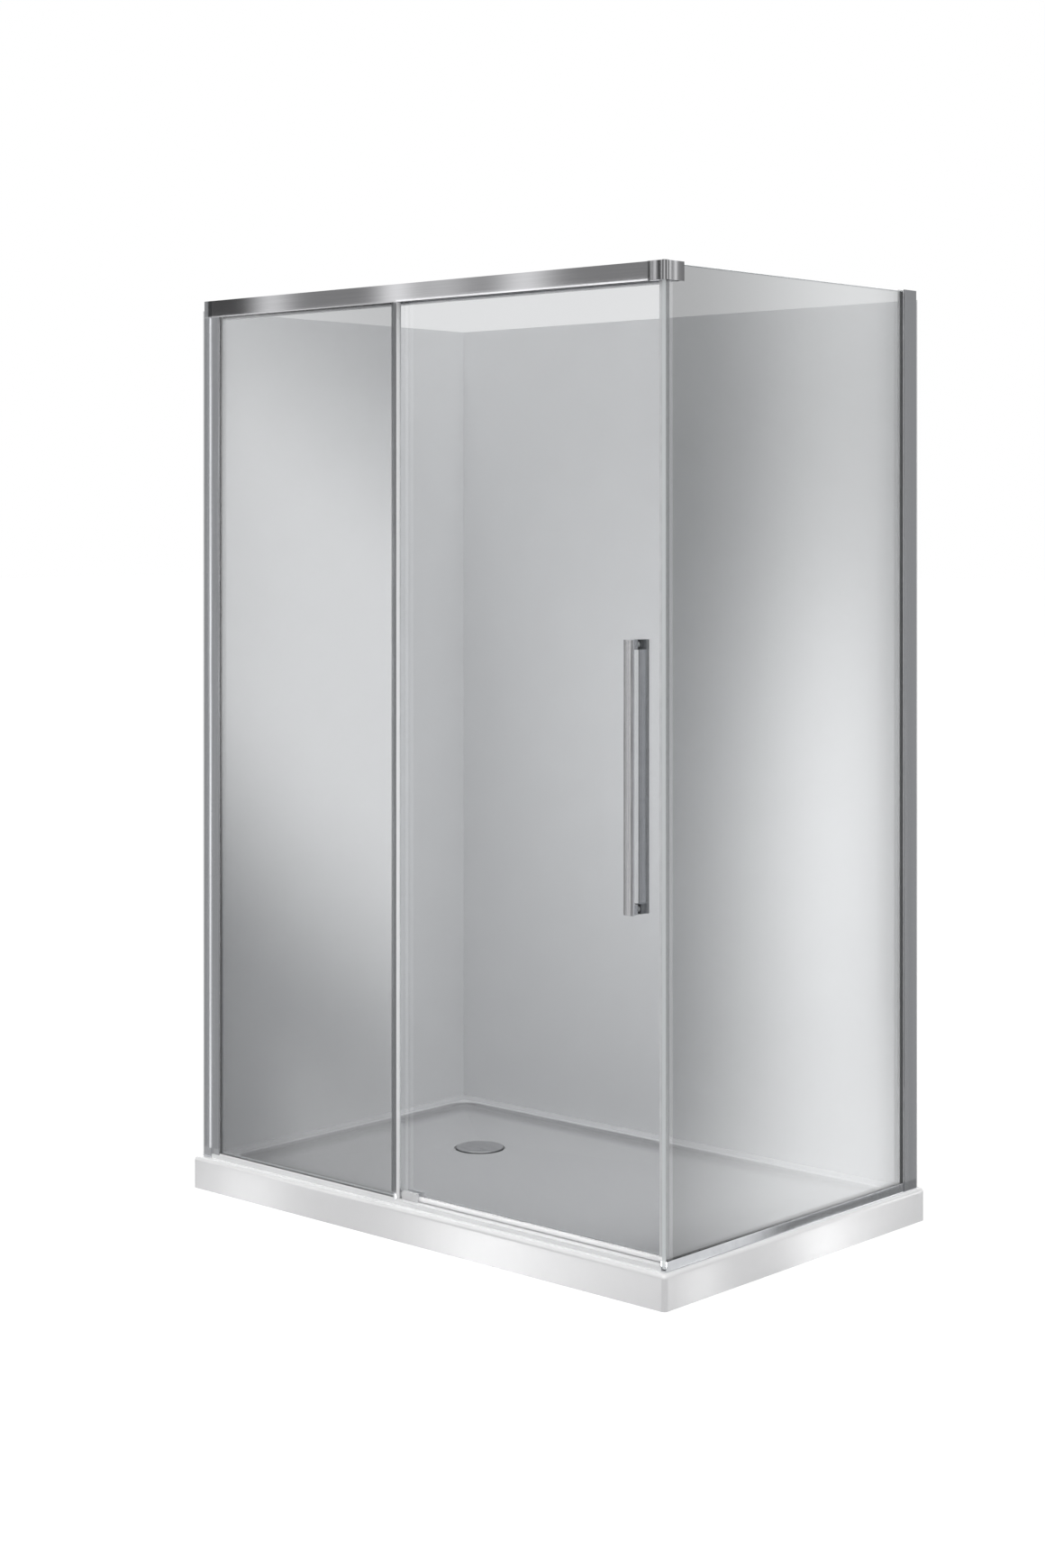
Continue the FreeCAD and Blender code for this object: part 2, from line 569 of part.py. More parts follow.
def build_left_jamb():
    section = [
        ("liner_x", "header_front_y"), ("jamb_mouth_x", "header_front_y"),
        ("jamb_mouth_x", "header_front_y + jamb_wall"),
        ("liner_x + jamb_wall", "header_front_y + jamb_wall"),
        ("liner_x + jamb_wall", "jamb_back_y - jamb_wall"), ("jamb_mouth_x", "jamb_back_y - jamb_wall"),
        ("jamb_mouth_x", "jamb_back_y"), ("liner_x", "jamb_back_y"),
    ]
    channel = place(extrusion("Z", "header_top_z - rim_z", section), z="rim_z")
    across = "glazing_box_x + jamb_wall + 2 * screw_radius"
    holes = [rod("X", "wall_hole_diameter / 2", "2 * jamb_wall", "liner_x - jamb_wall / 2",
                 "header_front_y + jamb_depth / 2", hole_height(index)) for index in range(WALL_HOLES)]
    screws = []
    for index in range(JAMB_SCREWS):
        level = shared_height(index, JAMB_SCREWS, "jamb_screw_margin", "header_low_z")
        holes += screw_holes([across], "jamb_back_y", level, "jamb_wall")
        screws.append(screw(across, "jamb_back_y", level, "jamb_wall"))
    node(cut(channel, *holes), "wall_jamb_left")
    node(group(*screws), "jamb_screws")
    profile = [
        ("glazing_box_x", "glazing_front_y"), ("jamb_mouth_x + part_gap", "glazing_front_y"),
        ("jamb_mouth_x + part_gap", "header_front_y"),
        ("jamb_mouth_x + bead_width / 3", "header_front_y - bead_proud"),
        ("jamb_mouth_x + 2 * bead_width / 3", "header_front_y - bead_proud"),
        ("jamb_mouth_x + bead_width", "glazing_face_y"),
        ("glazing_end_x", "glazing_face_y"), ("glazing_end_x", "pocket_front_y"),
        ("pocket_x", "pocket_front_y"), ("pocket_x", "pocket_back_y"),
        ("glazing_end_x", "pocket_back_y"), ("glazing_end_x", "pocket_back_y + glazing_wall"),
        ("pocket_x", "pocket_back_y + glazing_wall"), ("pocket_x", "glazing_rear_y"),
        ("glazing_box_x", "glazing_rear_y"),
    ]
    hollow = rectangle("glazing_box_x + glazing_wall", "pocket_x - glazing_wall",
                       "glazing_front_y + glazing_wall", "glazing_rear_y - glazing_wall")
    glazing = place(extrusion("Z", "header_low_z - threshold_top_z", profile, hollow), z="threshold_top_z")
    node(cut(glazing, *holes[WALL_HOLES:]), "glazing_profile_left")
    gasket = [
        ("pocket_x", "pocket_front_y"), ("glazing_end_x", "pocket_front_y"),
        ("glazing_end_x", "fixed_front_y"), ("fixed_left_x", "fixed_front_y"),
        ("fixed_left_x", "fixed_back_y"), ("glazing_end_x", "fixed_back_y"),
        ("glazing_end_x", "pocket_back_y"), ("pocket_x", "pocket_back_y"),
    ]
    node(place(extrusion("Z", "header_low_z - threshold_top_z", gasket), z="threshold_top_z"),
         "fixed_side_gasket")


def build_right_jamb():
    section = [
        ("jamb_right_in_x", "jamb_right_y"), ("jamb_right_in_x + jamb_wall", "jamb_right_y"),
        ("jamb_right_in_x + jamb_wall", "liner_y - jamb_wall"),
        ("jamb_right_out_x - jamb_wall", "liner_y - jamb_wall"),
        ("jamb_right_out_x - jamb_wall", "jamb_right_y"), ("jamb_right_out_x", "jamb_right_y"),
        ("jamb_right_out_x", "liner_y"), ("jamb_right_in_x", "liner_y"),
    ]
    channel = place(extrusion("Z", "jamb_right_top_z - rim_z", section), z="rim_z")
    holes = [rod("Y", "wall_hole_diameter / 2", "2 * jamb_wall", "(return_inner_x + line_x) / 2",
                 "liner_y - 1.5 * jamb_wall", hole_height(index)) for index in range(WALL_HOLES)]
    node(cut(channel, *holes), "wall_jamb_right")
    strips = []
    for low_x in ("jamb_right_in_x + jamb_wall", "line_x"):
        strips.append(block(low_x, low_x + " + return_gasket_thickness", "jamb_right_y", "return_end_y",
                            "return_low_z", "return_top_z"))
    node(group(*strips), "return_side_gaskets")


build_liners()
build_left_jamb()
build_right_jamb()


# ---------------------------------------------------------------- header rail and its ends
HEADER_SCREWS = ["header_left_x + spigot_length / 3", "header_left_x + 2 * spigot_length / 3",
                 "connector_left_x - 2 * spigot_length / 3", "connector_left_x - spigot_length / 3"]
CONNECTOR_SCREWS = ["connector_left_x + socket_depth / 3", "connector_left_x + 2 * socket_depth / 3"]


def build_header():
    """Aluminium extrusion: glazing groove and spigot chamber in front, roller track behind."""
    section = [
        ("header_front_y", "header_low_z"), ("groove_front_y", "header_low_z"),
        ("groove_front_y", "header_low_z + groove_depth"), ("groove_back_y", "header_low_z + groove_depth"),
        ("groove_back_y", "header_low_z"), ("divider_back_y", "header_low_z"),
        ("divider_back_y", "header_roof_z"), ("header_inner_back_y", "header_roof_z"),
        ("header_inner_back_y", "track_floor_z"),
        ("wheel_mid_y + track_rib_width / 2", "track_floor_z"),
        ("wheel_mid_y + track_rib_width / 2", "rib_top_z - track_rib_width / 3"),
        ("wheel_mid_y + track_rib_width / 4", "rib_top_z"),
        ("wheel_mid_y - track_rib_width / 4", "rib_top_z"),
        ("wheel_mid_y - track_rib_width / 2", "rib_top_z - track_rib_width / 3"),
        ("wheel_mid_y - track_rib_width / 2", "track_floor_z"),
        ("track_edge_y", "track_floor_z"), ("track_edge_y", "header_low_z"),
        ("header_back_y", "header_low_z"), ("header_back_y", "header_top_z"),
        ("header_front_y", "header_top_z"),
    ]
    chamber = rectangle("groove_front_y", "groove_back_y", "chamber_low_z", "header_roof_z")
    rail = place(extrusion("X", "connector_left_x - header_left_x", section, chamber), x="header_left_x")
    holes = screw_holes(HEADER_SCREWS, "divider_back_y", "spigot_mid_z", "header_wall")
    node(cut(rail, *holes), "header_rail")
    strip = place(extrusion("X", "connector_left_x - header_left_x", [
        ("track_edge_y + header_wall / 2", "header_low_z"),
        ("track_edge_y + header_wall / 2", "header_low_z - cover_strip_height / 2"),
        ("track_edge_y + header_wall", "header_low_z - cover_strip_height"),
        ("header_back_y - header_wall", "header_low_z - cover_strip_height"),
        ("header_back_y - header_wall / 2", "header_low_z - cover_strip_height / 2"),
        ("header_back_y - header_wall / 2", "header_low_z"),
    ]), x="header_left_x")
    node(strip, "track_cover_strip")


def spigot(low_x, high_x):
    """A bar that fills the rail's closed chamber over part of its length."""
    return block(low_x, high_x, "groove_front_y + spigot_gap", "groove_back_y - spigot_gap",
                 "chamber_low_z + spigot_gap", "header_roof_z - spigot_gap")


def build_header_ends():
    plate = block("jamb_mouth_x", "header_left_x", "header_front_y", "header_back_y",
                  "header_low_z", "header_top_z")
    tenon = block("liner_x + jamb_wall", "jamb_mouth_x", "header_front_y + jamb_wall",
                  "jamb_back_y - jamb_wall", "header_low_z", "header_top_z")
    tongue = spigot("header_left_x", "header_left_x + spigot_length")
    side_holes = screw_holes(HEADER_SCREWS, "divider_back_y", "spigot_mid_z", "header_wall")
    node(cut(fused(plate, tenon, tongue), *side_holes), "header_end_bracket")
    join = spigot("connector_left_x - spigot_length", "connector_left_x + socket_depth - spigot_gap")
    holes = [prism("Z", SCREW_SIDES, "screw_radius", "header_height", x, "fixed_middle_y",
                   "header_low_z") for x in CONNECTOR_SCREWS]
    node(cut(join, *(holes + side_holes)), "connector_spigot")
    screws = [screw(x, "divider_back_y", "spigot_mid_z", "header_wall") for x in HEADER_SCREWS]
    node(group(*screws), "header_screws")


def build_connector():
    """Corner casting: takes the rail's spigot and grips the return glass in a slot."""
    body = place(extrusion("Z", "overall_height - header_low_z", rectangle(
        "connector_left_x", "connector_right_x", "connector_front_y", "connector_back_y")),
        z="header_low_z")
    right = number("connector_right_x")
    front = number("connector_front_y")

    def outer_corner(edge):
        spot = edge.Vertexes[0].Point
        return runs_along(edge, "Z") and near(spot.x, right) and near(spot.y, front)

    dress(body, "Fillet", "connector_radius", outer_corner)
    top = number("overall_height") - number("header_low_z")
    left = number("connector_left_x")

    def upper_rim(edge):
        box = edge.BoundBox
        level = body.Placement.Base.z + top
        return near(box.ZMin, level) and near(box.ZMax, level) and not near(box.XMax, left)

    dress(body, "Chamfer", "connector_edge", upper_rim)
    slot = block("return_inner_x - part_gap / 3", "line_x + part_gap / 3", "line_y - part_gap",
                 "connector_back_y + part_gap", "header_low_z - part_gap", "return_top_z + part_gap")
    door_bay = block("connector_left_x - part_gap", "return_inner_x - connector_wall",
                     "divider_back_y", "track_edge_y", "header_low_z - part_gap",
                     "rail_top_z + connector_wall")
    socket = block("connector_left_x - part_gap", "connector_left_x + socket_depth",
                   "groove_front_y", "groove_back_y", "chamber_low_z", "header_roof_z")
    holes = [prism("Z", SCREW_SIDES, "screw_radius", "chamber_low_z - header_low_z + part_gap", x,
                   "fixed_middle_y", "header_low_z") for x in CONNECTOR_SCREWS]
    node(cut(body, slot, door_bay, socket, *holes), "corner_connector")
    screws = [prism("Z", SCREW_SIDES, "screw_radius - thread_clearance / 2",
                    "header_roof_z - header_low_z - header_wall", x, "fixed_middle_y",
                    "header_low_z + part_gap") for x in CONNECTOR_SCREWS]
    node(group(*screws), "connector_screws")


build_header()
build_header_ends()
build_connector()


# ---------------------------------------------------------------- fixed and return glass
def glass_sheet(axis, low_u, high_u, low_v, high_v, start, thickness):
    """A pane whose corners are polished to a small arris along its long edges."""
    pane = extrusion(axis, thickness, rectangle(low_u, high_u, low_v, high_v))
    dress(pane, "Chamfer", "glass_arris",
          lambda edge: runs_along(edge, "Z") or runs_along(edge, "XY".replace(axis, "")))
    return place(pane, **{axis.lower(): start})


def build_fixed_panel():
    node(glass_sheet("Y", "fixed_left_x", "fixed_right_x", "fixed_low_z", "fixed_top_z",
                     "fixed_front_y", "fixed_thickness"), "fixed_panel_glass")
    strip = [
        ("strip_left_x", "line_y"), ("fixed_edge_x", "line_y"), ("fixed_edge_x", "strip_back_y"),
        ("strip_left_x", "strip_back_y"), ("strip_left_x", "fixed_back_y"),
        ("fixed_right_x", "fixed_back_y"), ("fixed_right_x", "fixed_front_y"),
        ("strip_left_x", "fixed_front_y"),
    ]
    node(place(extrusion("Z", "header_low_z - threshold_top_z", strip), z="threshold_top_z"),
         "fixed_edge_strip")
    wiper = [
        ("strip_left_x + strip_wall", "strip_back_y"), ("fixed_edge_x - strip_wall", "strip_back_y"),
        ("fixed_edge_x - strip_wall", "strip_back_y + strip_wall"),
        ("strip_wiper_x + seal_wall / 2", "strip_back_y + strip_wall"),
        ("strip_wiper_x + seal_wall / 2", "door_front_y - part_gap"),
        ("strip_wiper_x - seal_wall / 2", "door_front_y - part_gap"),
        ("strip_wiper_x - seal_wall / 2", "strip_back_y + strip_wall"),
        ("strip_left_x + strip_wall", "strip_back_y + strip_wall"),
    ]
    node(place(extrusion("Z", "header_low_z - guide_top_z - 2 * part_gap", wiper),
               z="guide_top_z + part_gap"), "fixed_edge_wiper")
    top = [
        ("groove_front_y", "fixed_top_z - groove_depth / 2"),
        ("fixed_front_y", "fixed_top_z - groove_depth / 2"),
        ("fixed_front_y", "fixed_top_z"), ("fixed_back_y", "fixed_top_z"),
        ("fixed_back_y", "fixed_top_z - groove_depth / 2"),
        ("groove_back_y", "fixed_top_z - groove_depth / 2"),
        ("groove_back_y", "header_low_z + groove_depth"), ("groove_front_y", "header_low_z + groove_depth"),
    ]
    node(place(extrusion("X", "fixed_right_x - fixed_left_x", top), x="fixed_left_x"), "fixed_top_gasket")
    lower = [
        ("seat_front_y", "seat_z + 2 * setting_block_height"),
        ("fixed_front_y", "seat_z + 2 * setting_block_height"),
        ("fixed_front_y", "threshold_top_z + bead_height"),
        ("seat_front_y", "threshold_top_z + bead_height / 2"),
    ]
    back = [
        ("fixed_back_y", "seat_z + 2 * setting_block_height"),
        ("seat_back_y", "seat_z + 2 * setting_block_height"),
        ("seat_back_y", "threshold_top_z + bead_height / 2"),
        ("fixed_back_y", "threshold_top_z + bead_height"),
    ]
    beads = [place(extrusion("X", "strip_left_x - glazing_end_x", loop), x="glazing_end_x")
             for loop in (lower, back)]
    node(group(*beads), "fixed_bottom_beads")


def build_threshold():
    section = [
        ("threshold_front_y", "rim_z"), ("threshold_back_y", "rim_z"),
        ("threshold_back_y", "rim_z + threshold_toe"),
        ("threshold_back_y - threshold_ramp", "threshold_top_z"), ("seat_back_y", "threshold_top_z"),
        ("seat_back_y", "seat_z"), ("seat_front_y", "seat_z"), ("seat_front_y", "threshold_top_z"),
        ("threshold_front_y + threshold_wall / 4", "threshold_top_z"),
        ("threshold_front_y", "threshold_top_z - threshold_wall / 4"),
    ]
    hollow = rectangle("seat_back_y + threshold_wall", "threshold_back_y - threshold_ramp",
                       "rim_z + threshold_wall", "threshold_top_z - threshold_wall")
    rail = place(extrusion("X", "channel_inner_x - jamb_mouth_x", section, hollow), x="jamb_mouth_x")
    node(rail, "threshold_rail")
    infill = block("fixed_edge_x + infill_gap", "channel_inner_x", "seat_front_y", "seat_back_y",
                   "seat_z", "threshold_top_z")
    node(infill, "threshold_infill")


def build_return_panel():
    node(glass_sheet("X", "line_y", "return_end_y", "return_low_z", "return_top_z",
                     "return_inner_x", "return_thickness"), "return_panel_glass")
    channel = [
        ("channel_inner_x", "rim_z"), ("channel_outer_x", "rim_z"),
        ("channel_outer_x", "rim_z + return_channel_height"),
        ("channel_outer_x - channel_wall", "rim_z + return_channel_height"),
        ("channel_outer_x - channel_wall", "rim_z + channel_floor"),
        ("channel_inner_x + channel_wall", "rim_z + channel_floor"),
        ("channel_inner_x + channel_wall", "rim_z + return_channel_height"),
        ("channel_inner_x", "rim_z + return_channel_height"),
    ]
    node(place(extrusion("Y", "jamb_right_y - line_y", channel), y="line_y"), "return_bottom_channel")


def build_setting_blocks():
    """Small pads that carry the weight of the fixed and return panes off the metal."""
    pads = []
    for index in range(SETTING_BLOCKS):
        share = (2 * index + 1) / (2 * SETTING_BLOCKS)
        x = "fixed_left_x + %.4f * (fixed_right_x - fixed_left_x)" % share
        y = "line_y + %.4f * (jamb_right_y - line_y)" % share
        pads.append(block(x + " - setting_block_length / 2", x + " + setting_block_length / 2",
                          "fixed_front_y", "fixed_back_y", "seat_z", "fixed_low_z"))
        pads.append(block("return_inner_x", "line_x", y + " - setting_block_length / 2",
                          y + " + setting_block_length / 2", "rim_z + channel_floor", "return_low_z"))
    node(group(*pads), "glass_setting_blocks")


build_fixed_panel()
build_threshold()
build_return_panel()
build_setting_blocks()


# ---------------------------------------------------------------- door
HANGERS = {"left": "hanger_left_x", "right": "hanger_right_x"}


def pair_about(centre, pitch):
    return ["%s - %s / 2" % (centre, pitch), "%s + %s / 2" % (centre, pitch)]


def hanger_screw_holes(centre):
    return screw_holes(pair_about(centre, "hanger_screw_pitch"), "hanger_back_y", "hanger_screw_z",
                       "hanger_thickness")


def build_door_glass():
    pane = glass_sheet("Y", "door_left_x", "door_right_x", "door_low_z", "door_top_z",
                       "door_front_y", "door_thickness")
    holes = [rod("Y", "bush_radius + handle_bush_gap", "2 * door_thickness", "handle_x",
                 "door_front_y - door_thickness / 2", z) for z in ("bolt_low_z", "bolt_top_z")]
    node(cut(pane, *holes), "door_glass")


def build_door_trims():
    top = [
        ("rail_front_y", "rail_low_z"), ("door_front_y - bond_gap", "rail_low_z"),
        ("door_front_y - bond_gap", "rail_top_z - door_rail_web"),
        ("door_back_y + bond_gap", "rail_top_z - door_rail_web"), ("door_back_y + bond_gap", "rail_low_z"),
        ("rail_back_y", "rail_low_z"), ("rail_back_y", "rail_top_z"), ("rail_front_y", "rail_top_z"),
    ]
    rail = place(extrusion("X", "door_right_x - door_left_x - 2 * door_rail_inset", top),
                 x="door_left_x + door_rail_inset")
    holes = []
    for centre in HANGERS.values():
        holes += hanger_screw_holes(centre)
    node(cut(rail, *holes), "door_top_rail")
    bottom = [
        ("seal_front_y", "door_seal_low_z"), ("door_mid_y - seal_wall", "door_seal_low_z"),
        ("door_mid_y - seal_wall / 2", "threshold_top_z + guide_floor + part_gap"),
        ("door_mid_y + seal_wall / 2", "threshold_top_z + guide_floor + part_gap"),
        ("door_mid_y + seal_wall", "door_seal_low_z"), ("seal_back_y", "door_seal_low_z"),
        ("seal_back_y", "door_seal_low_z + bottom_seal_height"),
        ("door_back_y", "door_seal_low_z + bottom_seal_height"), ("door_back_y", "door_low_z"),
        ("door_front_y", "door_low_z"), ("door_front_y", "door_seal_low_z + bottom_seal_height"),
        ("seal_front_y", "door_seal_low_z + bottom_seal_height"),
    ]
    node(place(extrusion("X", "door_right_x - door_left_x", bottom), x="door_left_x"), "door_bottom_seal")
    lead = [
        ("door_right_x - leading_seal_wrap", "seal_front_y"), ("door_right_x", "seal_front_y"),
        ("door_right_x + leading_seal_width / 2", "door_front_y"),
        ("door_right_x + leading_seal_width", "door_mid_y - seal_wall"),
        ("door_right_x + leading_seal_width", "door_mid_y + seal_wall"),
        ("door_right_x + leading_seal_width / 2", "door_back_y"), ("door_right_x", "seal_back_y"),
        ("door_right_x - leading_seal_wrap", "seal_back_y"),
        ("door_right_x - leading_seal_wrap", "door_back_y"),
        ("door_right_x", "door_back_y"), ("door_right_x", "door_front_y"),
        ("door_right_x - leading_seal_wrap", "door_front_y"),
    ]
    seal_low = "door_seal_low_z + bottom_seal_height + part_gap"
    node(place(extrusion("Z", "header_low_z - part_gap - (%s)" % seal_low, lead), z=seal_low),
         "door_leading_seal")
    trail = [
        ("door_left_x - seal_wall", "fixed_back_y + part_gap"),
        ("door_left_x", "fixed_back_y + part_gap"), ("door_left_x + seal_wall", "seal_front_y"),
        ("door_left_x + leading_seal_wrap", "seal_front_y"),
        ("door_left_x + leading_seal_wrap", "door_front_y"),
        ("door_left_x", "door_front_y"), ("door_left_x", "door_back_y"),
        ("door_left_x + leading_seal_wrap", "door_back_y"),
        ("door_left_x + leading_seal_wrap", "seal_back_y"),
        ("door_left_x - seal_wall", "seal_back_y"),
    ]
    node(place(extrusion("Z", "header_low_z - part_gap - (%s)" % seal_low, trail), z=seal_low),
         "door_trailing_seal")


def build_hangers():
    """Hanger plates screwed to the door's top rail, with shoulder axles and anti-lift blocks."""
    screws = []
    axles = []
    lifters = []
    shoulder = "wheel_mid_y - bearing_width / 2 - bearing_play - hanger_back_y"
    journal = "wheel_mid_y + bearing_width / 2 + bearing_play - hanger_back_y"
    shank = "screw_radius + part_gap"
    for side, centre in HANGERS.items():
        plate = block(centre + " - hanger_length / 2", centre + " + hanger_length / 2", "rail_back_y",
                      "hanger_back_y", "rail_low_z", "hanger_top_z")
        holes = hanger_screw_holes(centre)
        for x in pair_about(centre, "wheel_pitch"):
            holes.append(prism("Y", SCREW_SIDES, shank, "2 * hanger_thickness", x,
                               "rail_back_y - hanger_thickness / 2", "axle_z"))
            axles.append(fused(
                prism("Y", SCREW_SIDES, shank + " - thread_clearance / 2", "hanger_thickness", x,
                      "rail_back_y", "axle_z"),
                prism("Y", SCREW_SIDES, "axle_head_radius", shoulder, x, "hanger_back_y", "axle_z"),
                rod("Y", "axle_radius - axle_clearance", journal, x, "hanger_back_y", "axle_z"),
                prism("Y", SCREW_SIDES, "axle_head_radius", "axle_head_height", x,
                      "hanger_back_y + " + journal, "axle_z")))
        node(cut(plate, *holes), "hanger_plate_" + side)
        for x in pair_about(centre, "hanger_screw_pitch"):
            screws.append(screw(x, "hanger_back_y", "hanger_screw_z", "hanger_thickness",
                                "door_rail_wall"))
        low_x, high_x = pair_about(centre, "anti_lift_length")
        cap = block(low_x, high_x, "rail_back_y - anti_lift_side", "hanger_back_y + anti_lift_side",
                    "hanger_top_z - anti_lift_side", "header_roof_z - anti_lift_gap")
        slit = block(low_x + " - part_gap", high_x + " + part_gap", "rail_back_y", "hanger_back_y",
                     "hanger_top_z - 2 * anti_lift_side", "hanger_top_z")
        lifters.append(cut(cap, slit))
    node(group(*screws), "hanger_screws")
    node(group(*axles), "roller_axles")
    node(group(*lifters), "anti_lift_blocks")


def build_wheels():
    """Grooved wheels that straddle the track rib, each on a sealed ball bearing."""
    groove_width = "track_rib_width + 2 * groove_side_gap"
    places = [x for centre in HANGERS.values() for x in pair_about(centre, "wheel_pitch")]
    for count, x in enumerate(places, start=1):
        tyre = ring("Y", WHEEL_SIDES, "bearing_radius + bearing_fit", "wheel_radius", "wheel_width",
                    x, "wheel_front_y", "axle_z")
        groove = ring("Y", WHEEL_SIDES, "roll_radius", "wheel_radius + part_gap", groove_width,
                      x, "wheel_mid_y - (%s) / 2" % groove_width, "axle_z")
        node(cut(tyre, groove), "roller_wheel_%d" % count)
        near_face = "wheel_mid_y - bearing_width / 2"
        races = prism("Y", WHEEL_SIDES, "bearing_radius", "bearing_width", x, near_face, "axle_z")
        bore = rod("Y", "axle_radius", "bearing_width", x, near_face, "axle_z")
        node(cut(races, bore), "roller_bearing_%d" % count)


def build_stops():
    """Stops that sit over the track rib at both ends of the travel, each with a rubber buffer."""
    stops = []
    buffers = []
    open_face = "header_left_x + stop_inset + stop_length + buffer_length"
    shut_face = "hanger_right_x + hanger_length / 2 + part_gap"
    arm_y = "rail_back_y + part_gap"
    for face, away in ((open_face, "-"), (shut_face, "+")):
        pad = "%s %s buffer_length" % (face, away)
        end = "%s %s stop_length" % (pad, away)
        low_x, high_x = (end, pad) if away == "-" else (pad, end)
        saddle = block(low_x, high_x, "track_edge_y", "wheel_back_y", "track_floor_z", "stop_top_z")
        arm = block(low_x, high_x, arm_y, "track_edge_y", "rib_top_z", "stop_top_z")
        notch = block(low_x, high_x, "wheel_mid_y - track_rib_width / 2",
                      "wheel_mid_y + track_rib_width / 2", "track_floor_z", "rib_top_z")
        stops.append(cut(fused(saddle, arm), notch))
        low_x, high_x = (pad, face) if away == "-" else (face, pad)
        buffers.append(block(low_x, high_x, arm_y, "hanger_back_y - part_gap", "rib_top_z", "stop_top_z"))
    node(group(*stops), "track_stops")
    node(group(*buffers), "track_stop_buffers")


build_door_glass()
build_door_trims()
build_hangers()
build_wheels()
build_stops()


# ---------------------------------------------------------------- handle and guide
def build_handle():
    """Two equal bars back to back on square posts, drawn together by bolts through the glass."""
    for label, low_y, high_y in (
            ("handle_outer_bar", "outer_bar_y - handle_bar", "outer_bar_y"),
            ("handle_inner_bar", "inner_bar_y", "inner_bar_y + handle_bar")):
        bar = place(extrusion("Z", "handle_length", rectangle(
            "handle_x - handle_width / 2", "handle_x + handle_width / 2", low_y, high_y)),
            z="handle_low_z")
        dress(bar, "Fillet", "handle_round", lambda edge: runs_along(edge, "Z"))
        node(bar, label)
    posts = []
    washers = []
    bolts = []
    bushes = []
    half = "handle_post_width / 2"
    bore = "handle_bolt_radius + handle_bush_gap"
    for z in ("bolt_low_z", "bolt_top_z"):
        for low_y, high_y, washer_y in (
                ("outer_bar_y", "door_front_y - handle_washer", "door_front_y - handle_washer"),
                ("door_back_y + handle_washer", "inner_bar_y", "door_back_y")):
            post = block("handle_x - " + half, "handle_x + " + half, low_y, high_y,
                         z + " - handle_post / 2", z + " + handle_post / 2")
            bore_y = low_y if "back" in low_y else high_y + " - handle_bolt_bite"
            posts.append(cut(post, prism("Y", SCREW_SIDES, bore, "handle_bolt_bite", "handle_x",
                                         bore_y, z)))
            washer = block("handle_x - " + half, "handle_x + " + half, washer_y,
                           washer_y + " + handle_washer", z + " - handle_post / 2",
                           z + " + handle_post / 2")
            washers.append(cut(washer, prism("Y", SCREW_SIDES, bore, "handle_washer", "handle_x",
                                             washer_y, z)))
        bolts.append(prism("Y", SCREW_SIDES, "handle_bolt_radius",
                           "door_thickness + 2 * handle_washer + 2 * handle_bolt_bite - 2 * part_gap",
                           "handle_x", "door_front_y - handle_washer - handle_bolt_bite + part_gap", z))
        bushes.append(ring("Y", SCREW_SIDES, bore, "bush_radius", "door_thickness",
                           "handle_x", "door_front_y", z))
    node(group(*posts), "handle_posts")
    node(group(*washers), "handle_washers")
    node(group(*bolts), "handle_bolts")
    node(group(*bushes), "handle_bushes")


def build_guide():
    """U-shaped guide on the threshold; the foot of the door runs between its jaws."""
    section = [
        ("seal_front_y - guide_gap - guide_jaw", "threshold_top_z"),
        ("seal_back_y + guide_gap + guide_jaw", "threshold_top_z"),
        ("seal_back_y + guide_gap + guide_jaw", "guide_top_z"), ("seal_back_y + guide_gap", "guide_top_z"),
        ("seal_back_y + guide_gap", "threshold_top_z + guide_floor"),
        ("seal_front_y - guide_gap", "threshold_top_z + guide_floor"),
        ("seal_front_y - guide_gap", "guide_top_z"),
        ("seal_front_y - guide_gap - guide_jaw", "guide_top_z"),
    ]
    node(place(extrusion("X", "guide_length", section), x="fixed_edge_x + guide_setback"),
         "door_guide_block")


build_handle()
build_guide()

# ---------------------------------------------------------------- check and export
doc.recompute()
for item in doc.Objects:
    if "Invalid" in item.State or "Error" in item.State:
        raise RuntimeError("not built: %s (%s)" % (item.Label, item.Name))
for item in nodes:
    if item.Shape.isNull() or not item.Shape.isValid() or not item.Shape.Solids:
        raise RuntimeError("bad shape: " + item.Label)
for item in nodes:
    item.Shape.exportStep("parts/%s.step" % item.Label)
print(len(nodes), "nodes")
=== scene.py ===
"""Looks of the shower enclosure: procedural materials, studio stage, lights and camera.

Lengths are in metres and angles in degrees, in the part's own frame.
"""

import math

import bpy
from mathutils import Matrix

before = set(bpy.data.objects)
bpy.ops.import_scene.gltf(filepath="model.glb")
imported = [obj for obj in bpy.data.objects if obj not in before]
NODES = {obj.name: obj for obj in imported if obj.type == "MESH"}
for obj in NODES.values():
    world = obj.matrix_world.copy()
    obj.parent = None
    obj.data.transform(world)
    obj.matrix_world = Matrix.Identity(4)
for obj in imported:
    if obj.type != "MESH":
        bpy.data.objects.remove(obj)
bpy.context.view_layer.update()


# ---------------------------------------------------------------- node helpers
EULER = 2.71828
EVEN = (1, 1, 1)  # the stretch of a noise that has no grain
NOISE_SPAN = (0.3, 0.7)  # the middle of a noise, where nearly all of its values lie


def fresh(name):
    """A new material with an empty node tree and its output."""
    made = bpy.data.materials.new(name)
    made.use_nodes = True
    tree = made.node_tree
    tree.nodes.clear()
    return made, tree, tree.nodes.new("ShaderNodeOutputMaterial")


def add(tree, kind, **values):
    """A node with its settings and its unlinked inputs set by name."""
    made = tree.nodes.new("ShaderNode" + kind)
    for key, value in values.items():
        if hasattr(made, key):
            setattr(made, key, value)
        else:
            made.inputs[key.replace("_", " ")].default_value = value
    return made


